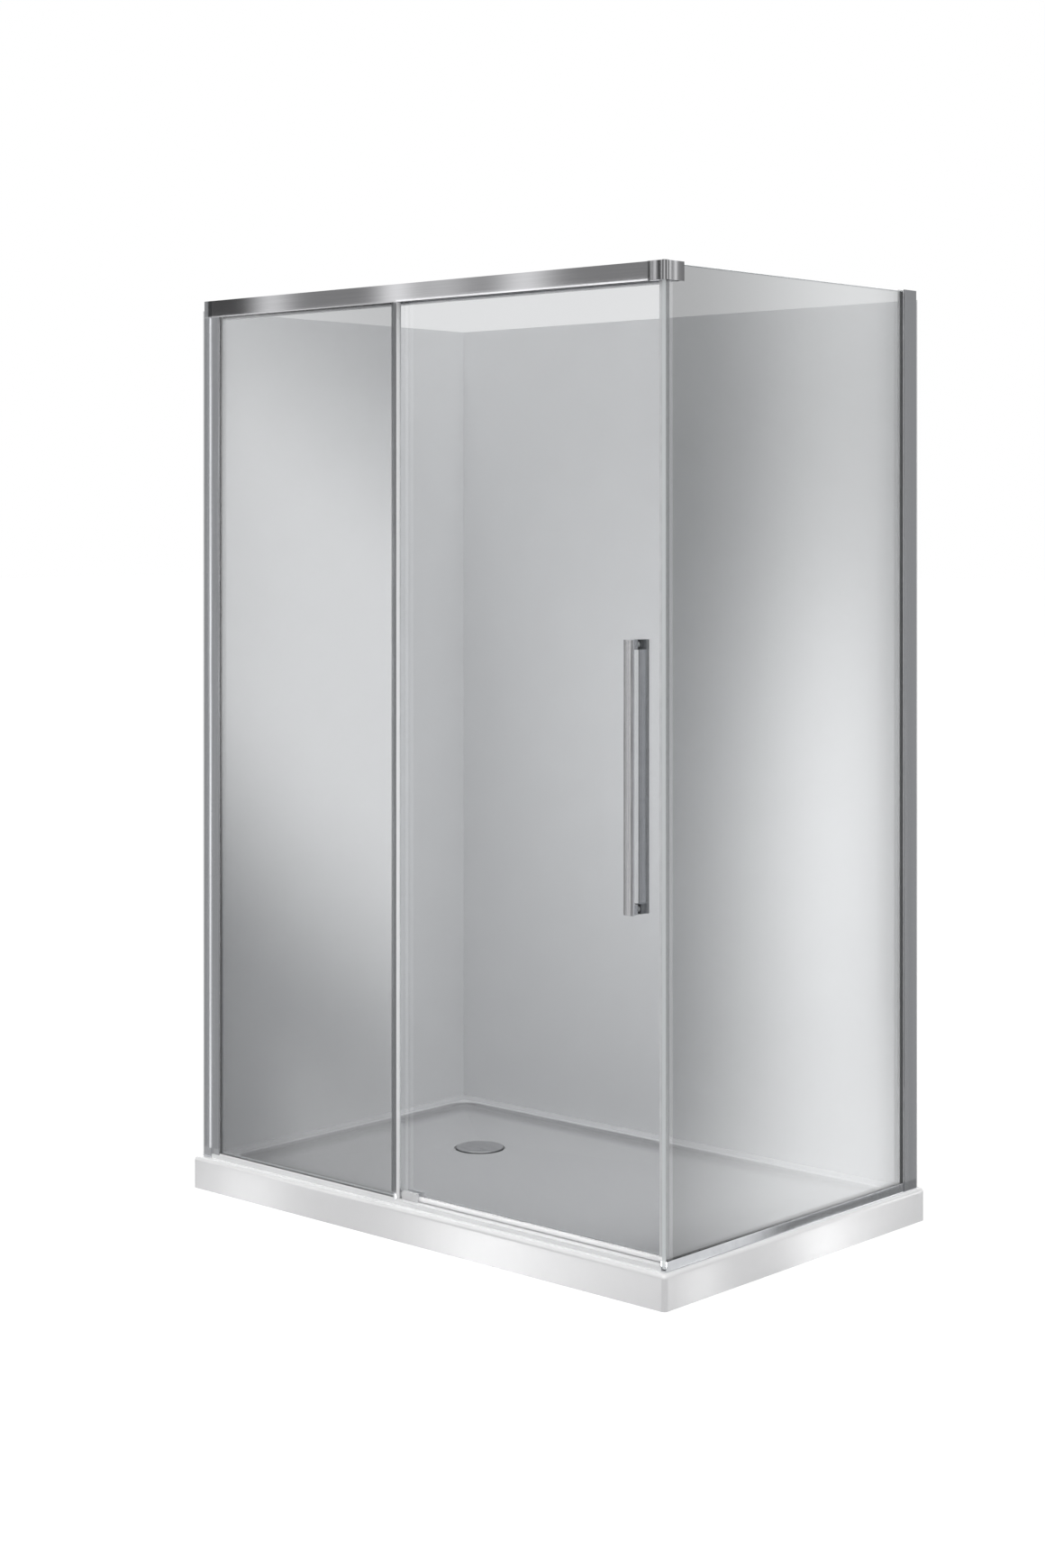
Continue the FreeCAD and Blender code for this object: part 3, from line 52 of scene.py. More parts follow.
def math_node(tree, operation, first, second=0.0, third=None):
    """One calculation on numbers and sockets."""
    made = add(tree, "Math", operation=operation)
    for slot, value in enumerate((first, second, third)):
        if isinstance(value, (int, float)):
            made.inputs[slot].default_value = value
        elif value is not None:
            tree.links.new(value, made.inputs[slot])
    return made.outputs[0]


def product(tree, first, second):
    return math_node(tree, "MULTIPLY", first, second)


def total(tree, first, second):
    return math_node(tree, "ADD", first, second)


def bell(tree, value, centre, width):
    """A smooth bump of height 1 about a centre."""
    away = math_node(tree, "DIVIDE", math_node(tree, "SUBTRACT", value, centre), width)
    return math_node(tree, "POWER", EULER, product(tree, product(tree, away, away), -1.0))


def step(tree, value, low, high, first=0.0, last=1.0):
    """A smooth step from first to last as the value goes from low to high."""
    made = add(tree, "MapRange", interpolation_type="SMOOTHSTEP",
               From_Min=low, From_Max=high, To_Min=first, To_Max=last)
    tree.links.new(value, made.inputs["Value"])
    return made.outputs["Result"]


def blend(tree, low, high, factor):
    """From one strength to another as the factor goes from 0 to 1."""
    rise = math_node(tree, "SUBTRACT", high, low)
    return math_node(tree, "MULTIPLY_ADD", rise, factor, low)


def axes_of(tree, source):
    """The three parts of a coordinate: Object for a place, Normal for a face's direction."""
    place = add(tree, "TexCoord")
    split = add(tree, "SeparateXYZ")
    tree.links.new(place.outputs[source], split.inputs[0])
    return split.outputs


def noise(tree, scale, stretch=EVEN, detail=3.0, roughness=0.55):
    """Noise laid over the object's own coordinates, stretched where the finish has a grain."""
    place = add(tree, "TexCoord")
    mapping = add(tree, "Mapping", Scale=stretch)
    tree.links.new(place.outputs["Object"], mapping.inputs["Vector"])
    made = add(tree, "TexNoise", Scale=scale, Detail=detail, Roughness=roughness)
    tree.links.new(mapping.outputs[0], made.inputs["Vector"])
    return made.outputs["Fac"]


def grain(axis, factor):
    """The stretch that draws a noise out along one axis."""
    return tuple(factor if name == axis else 1 for name in "XYZ")


def mottle(tree, factor, colour, darker, lighter=None):
    """A colour that a noise takes a little down and up, by the same share unless told."""
    shares = (1 - darker, 1 + (darker if lighter is None else lighter))
    ramp = add(tree, "ValToRGB")
    for element, place, share in zip(ramp.color_ramp.elements, NOISE_SPAN, shares):
        element.position = place
        element.color = (*(channel * share for channel in colour), 1)
    tree.links.new(factor, ramp.inputs["Fac"])
    return ramp.outputs["Color"]


def mix_colour(tree, factor, first, second):
    """One colour giving way to another, the second a socket or three numbers."""
    made = add(tree, "Mix", data_type="RGBA")
    tree.links.new(factor, made.inputs[0])
    tree.links.new(first, made.inputs[6])
    if isinstance(second, tuple):
        made.inputs[7].default_value = (*second, 1)
    else:
        tree.links.new(second, made.inputs[7])
    return made.outputs[2]


def mix_shader(tree, factor, first, second):
    made = add(tree, "MixShader")
    for slot, source in enumerate((factor, first, second)):
        tree.links.new(source, made.inputs[slot])
    return made.outputs[0]


def relief(tree, shader, height, strength, depth):
    """Fine unevenness of a shader's surface, from a noise."""
    made = add(tree, "Bump", Strength=strength, Distance=depth)
    tree.links.new(height, made.inputs["Height"])
    tree.links.new(made.outputs[0], shader.inputs["Normal"])


# ---------------------------------------------------------------- kinds of material
RELIEF_STRENGTH = 0.6
BROADER = 8  # how much broader the colour's mottle is than the gloss's
FACING_SPAN = (0.4, 0.8)  # how squarely a face looks along an axis before it counts

GLASS_REFLECTION = 0.08  # seen square on
GLASS_RIM = (0.80, 0.83, 0.84)
GLASS_RIM_SHARE = 0.85
GLASS_MIRROR = (0.99, 0.995, 1.0)
SHEEN = 0.004  # the roughest that a pane's reflection gets
SHEEN_SPAN = (0.35, 0.75)

VINYL_THROUGH = (0.93, 0.94, 0.95)


def finish(name, colour, rough, spread, rough_spread, scale, bump, stretch=EVEN, **principled):
    """An opaque finish: colour mottle, uneven gloss and fine relief, from one noise family."""
    made, tree, output = fresh(name)
    shader = add(tree, "BsdfPrincipled", **principled)
    broad = noise(tree, scale / BROADER, stretch, 2.0)
    fine = noise(tree, scale, stretch, 4.0)
    tree.links.new(mottle(tree, broad, colour, spread), shader.inputs["Base Color"])
    gloss = step(tree, fine, *NOISE_SPAN, rough - rough_spread, rough + rough_spread)
    tree.links.new(gloss, shader.inputs["Roughness"])
    relief(tree, shader, fine, RELIEF_STRENGTH, bump)
    tree.links.new(shader.outputs[0], output.inputs["Surface"])
    return made


def glass(name, tint, edge_tint, edge_axes):
    """Clear sheet: the tint dims what is behind, and the surface reflects by the angle. The
    polished edges, picked out by the faces' own direction, are denser than the sheet."""
    made, tree, output = fresh(name)
    direction = axes_of(tree, "Normal")
    across = 0.0
    for axis in edge_axes:
        across = math_node(tree, "MAXIMUM", across, math_node(tree, "ABSOLUTE", direction[axis]))
    edge = step(tree, across, *FACING_SPAN)
    sheet = mottle(tree, noise(tree, 2.2, grain("Z", 0.35), 2.0), tint, 0.005)
    through = add(tree, "BsdfTransparent")
    tree.links.new(mix_colour(tree, edge, sheet, edge_tint), through.inputs["Color"])
    mirror = add(tree, "BsdfGlossy", Color=(*GLASS_MIRROR, 1))
    sheen = step(tree, noise(tree, 9.0), *SHEEN_SPAN, 0.0, SHEEN)
    tree.links.new(sheen, mirror.inputs["Roughness"])
    facing = add(tree, "LayerWeight", Blend=0.5).outputs["Facing"]
    reflected = math_node(tree, "MULTIPLY_ADD", math_node(tree, "POWER", facing, 5.0),
                          1 - GLASS_REFLECTION, GLASS_REFLECTION)
    both = mix_shader(tree, reflected, through.outputs[0], mirror.outputs[0])
    rim = add(tree, "BsdfPrincipled", Base_Color=(*GLASS_RIM, 1), Roughness=0.2)
    body = mix_shader(tree, product(tree, edge, GLASS_RIM_SHARE), both, rim.outputs[0])
    tree.links.new(body, output.inputs["Surface"])
    return made


def soft_clear(name, colour, clear, rough):
    """Clear vinyl: part of the light goes through, the rest scatters off a soft surface."""
    made, tree, output = fresh(name)
    body = add(tree, "BsdfPrincipled")
    fine = noise(tree, 60.0, grain("Z", 0.05), 3.0)
    tree.links.new(mottle(tree, fine, colour, 0.06, 0.04), body.inputs["Base Color"])
    tree.links.new(step(tree, fine, *NOISE_SPAN, rough - 0.08, rough + 0.08),
                   body.inputs["Roughness"])
    relief(tree, body, fine, 0.4, 0.0002)
    through = add(tree, "BsdfTransparent", Color=(*VINYL_THROUGH, 1))
    solid = 1 - clear
    cloudy = step(tree, noise(tree, 18.0), *NOISE_SPAN, solid - 0.05, solid + 0.05)
    tree.links.new(mix_shader(tree, cloudy, through.outputs[0], body.outputs[0]),
                   output.inputs["Surface"])
    return made


def metal_with_painted_highlight(name, metal, highlight_colour, rough, axis, side, stretch):
    """Metal whose faces towards one side of an axis are painted pale as a lip: a painted highlight
    along that side.
    """
    made, tree, output = fresh(name)
    shader = add(tree, "BsdfPrincipled")
    direction = axes_of(tree, "Normal")[axis]
    painted_highlight = step(tree, product(tree, direction, side), *FACING_SPAN)
    fine = noise(tree, 300.0, stretch, 3.0)
    colour = mix_colour(tree, painted_highlight, mottle(tree, fine, metal, 0.03), mottle(tree, fine, highlight_colour, 0.01))
    tree.links.new(colour, shader.inputs["Base Color"])
    tree.links.new(math_node(tree, "SUBTRACT", 1.0, painted_highlight), shader.inputs["Metallic"])
    gloss = step(tree, fine, *NOISE_SPAN, rough - 0.005, rough + 0.005)
    tree.links.new(blend(tree, gloss, 0.35, painted_highlight), shader.inputs["Roughness"])
    tree.links.new(shader.outputs[0], output.inputs["Surface"])
    return made


# ---------------------------------------------------------------- the tray's material
BASIN = (0.0, 0.0, 0.638, 0.388)  # centre and half size in plan
SHADED_LEDGE = (-0.0185, 0.0185, 0.6735, 0.4235)  # the same, for the rim inside the panes and walls, which is painted darker as painted shade
PLAN_EDGE = 0.004
FOOT_SHADOW_HEIGHTS = (0.0625, 0.0715)  # where the foot's painted shadow ends, up the basin's side
# below these heights the basin's floor is painted darker: painted shade
FLOOR_SHADE_HEIGHTS = (0.0545, 0.0585)
# how squarely a face looks up before it takes the rim's painted highlight
RIM_HIGHLIGHT_SPAN = (0.1, 0.6)
TRAY_GLOSS = (0.09, 0.17)
BASIN_ROUGH = 0.38


def within(tree, axes, box):
    """1 inside a box in plan, given as its centre and half size on x and y, and 0 outside."""
    centre_x, centre_y, half_x, half_y = box
    inside = 1.0
    for name, centre, half in (("X", centre_x, half_x), ("Y", centre_y, half_y)):
        away = math_node(tree, "ABSOLUTE", math_node(tree, "SUBTRACT", axes[name], centre))
        inside = product(tree, inside, step(tree, away, half, half + PLAN_EDGE, 1.0, 0.0))
    return inside


def tray_finish_with_painted_light(name, side_tone, rim_highlight_tone, ledge_shade_tone, foot_shadow_tone, floor_shade_tone):
    """Glossy white sides; the up-facing rim is painted whiter as a painted highlight and the ledge
    inside the panes and walls darker as painted shade; inside, by height, a satin floor painted
    darker as painted shade, with a darker painted shadow on the moulded foot around it."""
    made, tree, output = fresh(name)
    shader = add(tree, "BsdfPrincipled", Coat_Weight=0.5, Coat_Roughness=0.05)
    axes = axes_of(tree, "Object")
    inside = within(tree, axes, BASIN)
    broad = noise(tree, 20.0, EVEN, 2.0)
    fine = noise(tree, 160.0, EVEN, 4.0)
    colour = mottle(tree, broad, side_tone, 0.008)
    # the rim's whiter tone is a painted highlight; the ledge's, foot's and floor's darker tones
    # are painted shade
    for factor, tone in (
            (step(tree, axes_of(tree, "Normal")["Z"], *RIM_HIGHLIGHT_SPAN), rim_highlight_tone),
            (within(tree, axes, SHADED_LEDGE), ledge_shade_tone),
            (product(tree, inside, step(tree, axes["Z"], *FOOT_SHADOW_HEIGHTS, 1.0, 0.0)), foot_shadow_tone),
            (product(tree, inside, step(tree, axes["Z"], *FLOOR_SHADE_HEIGHTS, 1.0, 0.0)), floor_shade_tone)):
        colour = mix_colour(tree, factor, colour, mottle(tree, broad, tone, 0.01))
    tree.links.new(colour, shader.inputs["Base Color"])
    gloss = step(tree, fine, *NOISE_SPAN, *TRAY_GLOSS)
    tree.links.new(blend(tree, gloss, BASIN_ROUGH, inside), shader.inputs["Roughness"])
    relief(tree, shader, fine, RELIEF_STRENGTH, 0.00006)
    tree.links.new(shader.outputs[0], output.inputs["Surface"])
    return made


# ---------------------------------------------------------------- materials and their nodes
BRIGHT = (0.80, 0.80, 0.82)
ALUMINIUM = (0.52, 0.53, 0.55)
MIRROR_BUMP = 0.0000003

# the rim tone is a painted highlight; the ledge, foot and floor tones are painted shade
TRAY = tray_finish_with_painted_light("tray_gloss_white_painted_light", side_tone=(0.84, 0.84, 0.85), rim_highlight_tone=(0.95, 0.95, 0.955),
                   ledge_shade_tone=(0.60, 0.602, 0.61), foot_shadow_tone=(0.33, 0.332, 0.338),
                   floor_shade_tone=(0.455, 0.457, 0.463))
WALL = finish("wall_sheet_grey", (0.742, 0.747, 0.754), rough=0.42, spread=0.012,
              rough_spread=0.05, scale=90.0, bump=0.00008)
POLISHED = finish("polished_upright", BRIGHT, rough=0.02, spread=0.015, rough_spread=0.006,
                  scale=220.0, bump=MIRROR_BUMP, stretch=grain("Z", 0.03), Metallic=1.0)
SATIN = finish("satin_aluminium_upright", ALUMINIUM, rough=0.018, spread=0.03,
               rough_spread=0.006, scale=400.0, bump=MIRROR_BUMP, stretch=grain("Z", 0.01),
               Metallic=1.0)
SATIN_LEVEL = finish("satin_aluminium_level", ALUMINIUM, rough=0.02, spread=0.03,
                     rough_spread=0.006, scale=400.0, bump=MIRROR_BUMP,
                     stretch=grain("X", 0.01), Metallic=1.0)
PALE_METAL = finish("pale_anodised", (0.86, 0.865, 0.87), rough=0.35, spread=0.02,
                    rough_spread=0.05, scale=300.0, bump=0.00002, stretch=grain("X", 0.01),
                    Metallic=0.3)
WHITE = finish("white_vinyl", (0.93, 0.93, 0.935), rough=0.06, spread=0.006,
               rough_spread=0.02, scale=120.0, bump=0.000004)
GREY = finish("grey_moulding", (0.55, 0.555, 0.56), rough=0.38, spread=0.03,
              rough_spread=0.06, scale=140.0, bump=0.0001)
GASKET = finish("pale_gasket", (0.80, 0.805, 0.81), rough=0.5, spread=0.03,
                rough_spread=0.06, scale=200.0, bump=0.0001)
RUBBER = finish("grey_rubber", (0.06, 0.06, 0.065), rough=0.62, spread=0.08,
                rough_spread=0.08, scale=260.0, bump=0.00015)
DARK = finish("dark_moulding", (0.07, 0.072, 0.075), rough=0.45, spread=0.06,
              rough_spread=0.08, scale=180.0, bump=0.00012)
COVER = finish("brushed_cover", (0.52, 0.52, 0.53), rough=0.34, spread=0.04,
               rough_spread=0.08, scale=320.0, bump=0.00008, stretch=grain("X", 0.04),
               Metallic=0.85)
STEEL = finish("plain_steel", (0.58, 0.58, 0.59), rough=0.28, spread=0.04,
               rough_spread=0.08, scale=260.0, bump=0.00005, Metallic=1.0)
NYLON = finish("nylon", (0.80, 0.80, 0.77), rough=0.45, spread=0.03,
               rough_spread=0.06, scale=200.0, bump=0.00008)
# the strip's end faces and the rail's underside are painted pale: painted highlights
EDGE_STRIP = metal_with_painted_highlight("edge_strip", ALUMINIUM, (0.96, 0.96, 0.965), rough=0.02,
                          axis="X", side=1, stretch=grain("Z", 0.02))
RAIL = metal_with_painted_highlight("polished_rail", BRIGHT, (0.95, 0.95, 0.96), rough=0.02,
                    axis="Z", side=-1, stretch=grain("X", 0.02))
SEAL = soft_clear("clear_vinyl", (0.86, 0.87, 0.88), clear=0.35, rough=0.25)
GUIDE = soft_clear("clear_guide", (0.88, 0.88, 0.89), clear=0.30, rough=0.2)
# the fixed and return panes are tinted darker than the door's glass: painted shade for the walls
# seen through them
GLASS_FIXED = glass("glass_fixed", (0.735, 0.739, 0.744), (0.35, 0.38, 0.40), "XZ")
GLASS_DOOR = glass("glass_door", (0.917, 0.921, 0.926), (0.45, 0.48, 0.50), "XZ")
GLASS_RETURN = glass("glass_return", (0.704, 0.709, 0.713), (0.40, 0.43, 0.45), "YZ")

WHEELS = range(1, 5)
LOOKS = {
    TRAY: ["shower_tray"],
    WALL: ["wall_liner_left", "wall_liner_back"],
    SATIN: ["wall_jamb_left", "wall_jamb_right", "glazing_profile_left", "handle_inner_bar",
            "handle_posts"],
    EDGE_STRIP: ["fixed_edge_strip"],
    SATIN_LEVEL: ["header_end_bracket", "connector_spigot", "return_bottom_channel"],
    PALE_METAL: ["door_top_rail", "threshold_rail"],
    RAIL: ["header_rail"],
    POLISHED: ["corner_connector", "handle_outer_bar"],
    WHITE: ["threshold_infill", "track_cover_strip", "fixed_bottom_beads", "door_bottom_seal"],
    GREY: ["track_stops", "anti_lift_blocks"],
    GASKET: ["fixed_side_gasket", "fixed_top_gasket", "return_side_gaskets",
             "glass_setting_blocks"],
    RUBBER: ["track_stop_buffers", "handle_washers", "waste_gasket_upper",
             "waste_gasket_under"],
    DARK: ["handle_bushes", "waste_body", "waste_backnut", "hair_catcher"],
    COVER: ["waste_cover"],
    STEEL: ["jamb_screws", "connector_screws", "header_screws", "hanger_plate_left",
            "hanger_plate_right", "hanger_screws", "roller_axles", "handle_bolts",
            *["roller_bearing_%d" % count for count in WHEELS]],
    NYLON: ["roller_wheel_%d" % count for count in WHEELS],
    GUIDE: ["door_guide_block"],
    SEAL: ["fixed_edge_wiper", "door_leading_seal", "door_trailing_seal"],
    GLASS_FIXED: ["fixed_panel_glass"],
    GLASS_DOOR: ["door_glass"],
    GLASS_RETURN: ["return_panel_glass"],
}
for look, names in LOOKS.items():
    for name in names:
        NODES[name].data.materials.clear()
        NODES[name].data.materials.append(look)


# ---------------------------------------------------------------- camera
CAMERA_PLACE = (3.830, -4.282, 1.517)
CAMERA_TURN = 42.43
CAMERA_TILT = 90.0
SENSOR = 36.0
LENS = 58.66
SHIFT_Y = -0.163

lens = bpy.data.cameras.new("camera")
lens.sensor_fit = "AUTO"
lens.sensor_width = SENSOR
lens.lens = LENS
lens.shift_y = SHIFT_Y
camera = bpy.data.objects.new("camera", lens)
camera.location = CAMERA_PLACE
camera.rotation_euler = (math.radians(CAMERA_TILT), 0, math.radians(CAMERA_TURN))
bpy.context.scene.collection.objects.link(camera)
bpy.context.scene.camera = camera
bpy.context.scene.view_settings.view_transform = "Standard"


# ---------------------------------------------------------------- cards that the panes mirror
# A point of the front panes at (x, z) mirrors the front card at twice that place less the
# camera's, whatever the pane's depth, and the return pane does the same with (y, z) and the side
# card. So every place below is one on the panes, and every strength is that of the card's light.
# An edge goes from where a change starts to where it ends. A band is a centre, a width and a
# strength on top of a base.
CARD_HEIGHTS = (-1.62, 2.75)
FRONT_CARD = (-5.9, -2.1)
SIDE_CARD = (3.0, 5.6)
METAL_GREY = 0.45

# the fixed pane's slanting light, and what the pane's ends and lower corner get
SLANT = 0.6
LIGHT_RISE = (0.15, 0.88)
LIGHT_FALL = (1.3, 2.0)
FIXED_DIM, FIXED_LIT = 0.51, 2.97
CORNER_HEIGHTS = (0.2, 0.5)
CORNER_PLACES = (-0.55, -0.3)
CORNER_LIT = 0.61
JAMB_EDGE = (-0.6260, -0.6240)
JAMB_BANDS = [(-0.6575, 0.0035, 1.8)]
STRIP_START = (-0.0700, -0.0690)
STRIP_END = (-0.0550, -0.0540)
STRIP_GREY = 0.32

# the door's pane and the outer handle bar in front of it
DOOR_DIM = 0.2
DOOR_BASE = 0.1
DOOR_BANDS = [(1.25, 0.6, 0.66)]
DOOR_TURN = (0.1, 0.6)
BAR_BASE = 0.08
BAR_BANDS = [(0.5891, 0.0011, 0.75), (0.5917, 0.0012, 0.25), (0.5948, 0.0014, 0.9),
             (0.6003, 0.0018, 0.95)]
BAR_SIDES = ((0.582, 0.583), (0.607, 0.608))
BAR_ENDS = ((0.750, 0.755), (1.299, 1.304))

# the header rail, its bracket, the line along its lower edge, and the corner connector
RAIL_BASE = 0.075
RAIL_BANDS = [(-0.45, 0.07, 0.42), (-0.056, 0.06, 0.54), (0.08, 0.10, 0.30),
              (0.317, 0.08, 0.52)]
RAIL_LIFT = (-0.56, -0.46, 0.0, 0.16)
RAIL_EDGE = (2.0, 2.001)
BRACKET_EDGE = (-0.668, -0.666)
LINE_DOOR_EDGE = (-0.056, -0.054)
LINE_FIXED_TOP, LINE_DOOR_TOP = 2.0025, 2.0045
LINE_FIXED_LIT, LINE_DOOR_LIT = 0.8, 1.4
LINE_END = (0.644, 0.646)
CAP_BASE = 0.04
CAP_BANDS = [(0.6542, 0.0015, 0.75), (0.6633, 0.004, 0.8), (0.6813, 0.002, 0.7)]
CAP_EDGE = (0.6455, 0.6465)

# the threshold, the door's bottom seal and the tray's front face
SILL_BASE = 0.62
SILL_BANDS = [(0.42, 0.12, -0.35)]
SEAL_EDGE = (0.0822, 0.0830)
SEAL_DIM, SEAL_LIT = 0.6, 12.0
PANE_FOOT = (0.0945, 0.0955)
FACE_TOP = (0.071, 0.074)
FACE_BASE = 0.8
FACE_BANDS = [(-0.509, 0.12, 4.5), (0.19, 0.16, 4.8), (0.38, 0.25, 2.8)]

# the return pane, its channel, the connector's side and the tray's side face
START_HEIGHTS = (0.3, 1.9)
START_PLACES = (-0.60, -0.42)
FULL_PLACE = 0.22
SIDE_FALL = (0.27, 0.37, 1.0, 0.72)
LEVEL_HEIGHTS = (0.8, 1.9)
LEVELS = (3.7, 2.35)
NEAR_END = (-0.412, -0.410, 1.0, 0.0)
LOW_LIGHT = (0.15, 0.55, 0.56, 0.0)
SIDE_JAMB_EDGE = (0.3705, 0.3715)
CHANNEL = (-0.20, -0.02, 1.1, 0.32)
CHANNEL_TOP = (0.092, 0.094)
SIDE_CAP_BASE = 0.22
SIDE_CAP_BANDS = [(-0.423, 0.003, 0.75), (-0.406, 0.005, 0.6)]
SIDE_CAP_FOOT = (1.996, 2.0)
SIDE_CAP_END = (-0.379, -0.377)
SIDE_FACE_BASE = 0.6
SIDE_FACE_BANDS = [(-0.335, 0.07, 4.2), (0.06, 0.10, 4.6), (0.17, 0.15, 2.4)]
SIDE_FACE_TOP = (0.071, 0.073)


def stripes(tree, value, base, bands):
    """A base strength with soft bands on it."""
    strength = base
    for centre, width, height in bands:
        strength = math_node(tree, "MULTIPLY_ADD", bell(tree, value, centre, width), height,
                             strength)
    return strength


def between_edges(tree, value, start, end):
    """1 between two edges and 0 outside them."""
    return product(tree, step(tree, value, *start), step(tree, value, *end, 1.0, 0.0))


def pane_place(tree, axes, name):
    """The place on the panes that mirrors a place on the card."""
    camera_place = CAMERA_PLACE["XYZ".index(name)]
    return math_node(tree, "MULTIPLY_ADD", axes[name], 0.5, camera_place / 2)


def front_panes(tree, x, z):
    """The jamb, the fixed pane, its edge strip and the door, from left to right, and the bar."""
    slant = math_node(tree, "MULTIPLY_ADD", x, SLANT, z)
    fixed = blend(tree, FIXED_DIM, FIXED_LIT, between_edges(tree, slant, LIGHT_RISE, LIGHT_FALL))
    corner = product(tree, step(tree, z, *CORNER_HEIGHTS, CORNER_LIT, 0.0),
                     step(tree, x, *CORNER_PLACES))
    door = blend(tree, DOOR_DIM, stripes(tree, z, DOOR_BASE, DOOR_BANDS),
                 step(tree, x, *DOOR_TURN))
    paint = stripes(tree, x, METAL_GREY, JAMB_BANDS)
    for next_paint, edge in ((total(tree, fixed, corner), JAMB_EDGE), (STRIP_GREY, STRIP_START),
                             (door, STRIP_END)):
        paint = blend(tree, paint, next_paint, step(tree, x, *edge))
    on_bar = product(tree, between_edges(tree, x, *BAR_SIDES), between_edges(tree, z, *BAR_ENDS))
    return blend(tree, paint, stripes(tree, x, BAR_BASE, BAR_BANDS), on_bar)


def front_rail(tree, x, z):
    """The header rail between its bracket and the connector, over a light line."""
    rail = total(tree, stripes(tree, x, RAIL_BASE, RAIL_BANDS), step(tree, x, *RAIL_LIFT))
    rail = blend(tree, rail, stripes(tree, x, CAP_BASE, CAP_BANDS), step(tree, x, *CAP_EDGE))
    rail = blend(tree, METAL_GREY, rail, step(tree, x, *BRACKET_EDGE))
    over_door = step(tree, x, *LINE_DOOR_EDGE)
    line = blend(tree, LINE_FIXED_LIT, LINE_DOOR_LIT, over_door)
    line_top = blend(tree, LINE_FIXED_TOP, LINE_DOOR_TOP, over_door)
    past_line = math_node(tree, "MAXIMUM", math_node(tree, "GREATER_THAN", z, line_top),
                          step(tree, x, *LINE_END))
    return blend(tree, line, rail, past_line)


def front_paint(tree, axes):
    """Strength of the front card, from the rail down to the tray's face."""
    x = pane_place(tree, axes, "X")
    z = pane_place(tree, axes, "Z")
    paint = blend(tree, front_panes(tree, x, z), front_rail(tree, x, z),
                  step(tree, z, *RAIL_EDGE))
    seal = blend(tree, SEAL_DIM, SEAL_LIT, step(tree, x, *LINE_DOOR_EDGE))
    sill = blend(tree, stripes(tree, x, SILL_BASE, SILL_BANDS), seal, step(tree, z, *SEAL_EDGE))
    paint = blend(tree, sill, paint, step(tree, z, *PANE_FOOT))
    return blend(tree, stripes(tree, x, FACE_BASE, FACE_BANDS), paint, step(tree, z, *FACE_TOP))


def side_paint(tree, axes):
    """Strength of the side card: the return pane with the connector above and the tray below."""
    y = pane_place(tree, axes, "Y")
    z = pane_place(tree, axes, "Z")
    start = step(tree, z, *START_HEIGHTS, *START_PLACES)
    along = math_node(tree, "DIVIDE", math_node(tree, "SUBTRACT", y, start),
                      math_node(tree, "SUBTRACT", FULL_PLACE, start))
    lit = product(tree, step(tree, along, 0.0, 1.0), step(tree, y, *SIDE_FALL))
    paint = product(tree, lit, step(tree, z, *LEVEL_HEIGHTS, *LEVELS))
    paint = total(tree, paint, step(tree, y, *NEAR_END))
    paint = total(tree, paint, step(tree, z, *LOW_LIGHT))
    paint = blend(tree, paint, METAL_GREY, step(tree, y, *SIDE_JAMB_EDGE))
    paint = blend(tree, step(tree, y, *CHANNEL), paint, step(tree, z, *CHANNEL_TOP))
    on_cap = product(tree, step(tree, z, *SIDE_CAP_FOOT),
                     step(tree, y, *SIDE_CAP_END, 1.0, 0.0))
    paint = blend(tree, paint, stripes(tree, y, SIDE_CAP_BASE, SIDE_CAP_BANDS), on_cap)
    return blend(tree, stripes(tree, y, SIDE_FACE_BASE, SIDE_FACE_BANDS), paint,
                 step(tree, z, *SIDE_FACE_TOP))


def card(name, start, end, paint):
    """A glowing upright card, from one place in plan to another, that only shows as a
    reflection; paint gives its strength from its place."""
    low, high = CARD_HEIGHTS
    mesh = bpy.data.meshes.new(name)
    mesh.from_pydata([(*start, low), (*end, low), (*end, high), (*start, high)], [],
                     [(0, 1, 2, 3)])
    board = bpy.data.objects.new(name, mesh)
    bpy.context.scene.collection.objects.link(board)
    glow, tree, output = fresh(name + "_glow")
    light = add(tree, "Emission")
    tree.links.new(paint(tree, axes_of(tree, "Object")), light.inputs["Strength"])
    tree.links.new(light.outputs[0], output.inputs["Surface"])
    mesh.materials.append(glow)
    board.visible_camera = False
    board.visible_diffuse = False
    board.visible_transmission = False
    board.visible_volume_scatter = False
    board.visible_shadow = False


card("front_card", (FRONT_CARD[0], CAMERA_PLACE[1]), (FRONT_CARD[1], CAMERA_PLACE[1]), front_paint)
card("side_card", (CAMERA_PLACE[0], SIDE_CARD[0]), (CAMERA_PLACE[0], SIDE_CARD[1]), side_paint)


# ---------------------------------------------------------------- room, floor and lights
WHITE_LIGHT = (1, 1, 1, 1)
FILL_STRENGTH = 0.66  # what the room gives to soft surfaces
BACKDROP_STRENGTH = 1.0  # what the camera sees of it
ROOM_LEVEL = 0.42  # what metal and glass mirror of it, with soft uprights around
ROOM_SWING = 0.30
ROOM_WAVES = 5.0
ROOM_PHASE = 1.2
LOOK_X, LOOK_Y = -0.67, 0.74  # the camera's own direction in plan
FAR_GLOW = 1.3
FAR_SIDE = (0.3, 0.7)
FAR_HEIGHTS = (0.04, 0.14)
NEAR_GLOW = 5.0
NEAR_SIDE = (-0.6, -0.1)
NEAR_HEIGHTS = (0.35, 0.5)


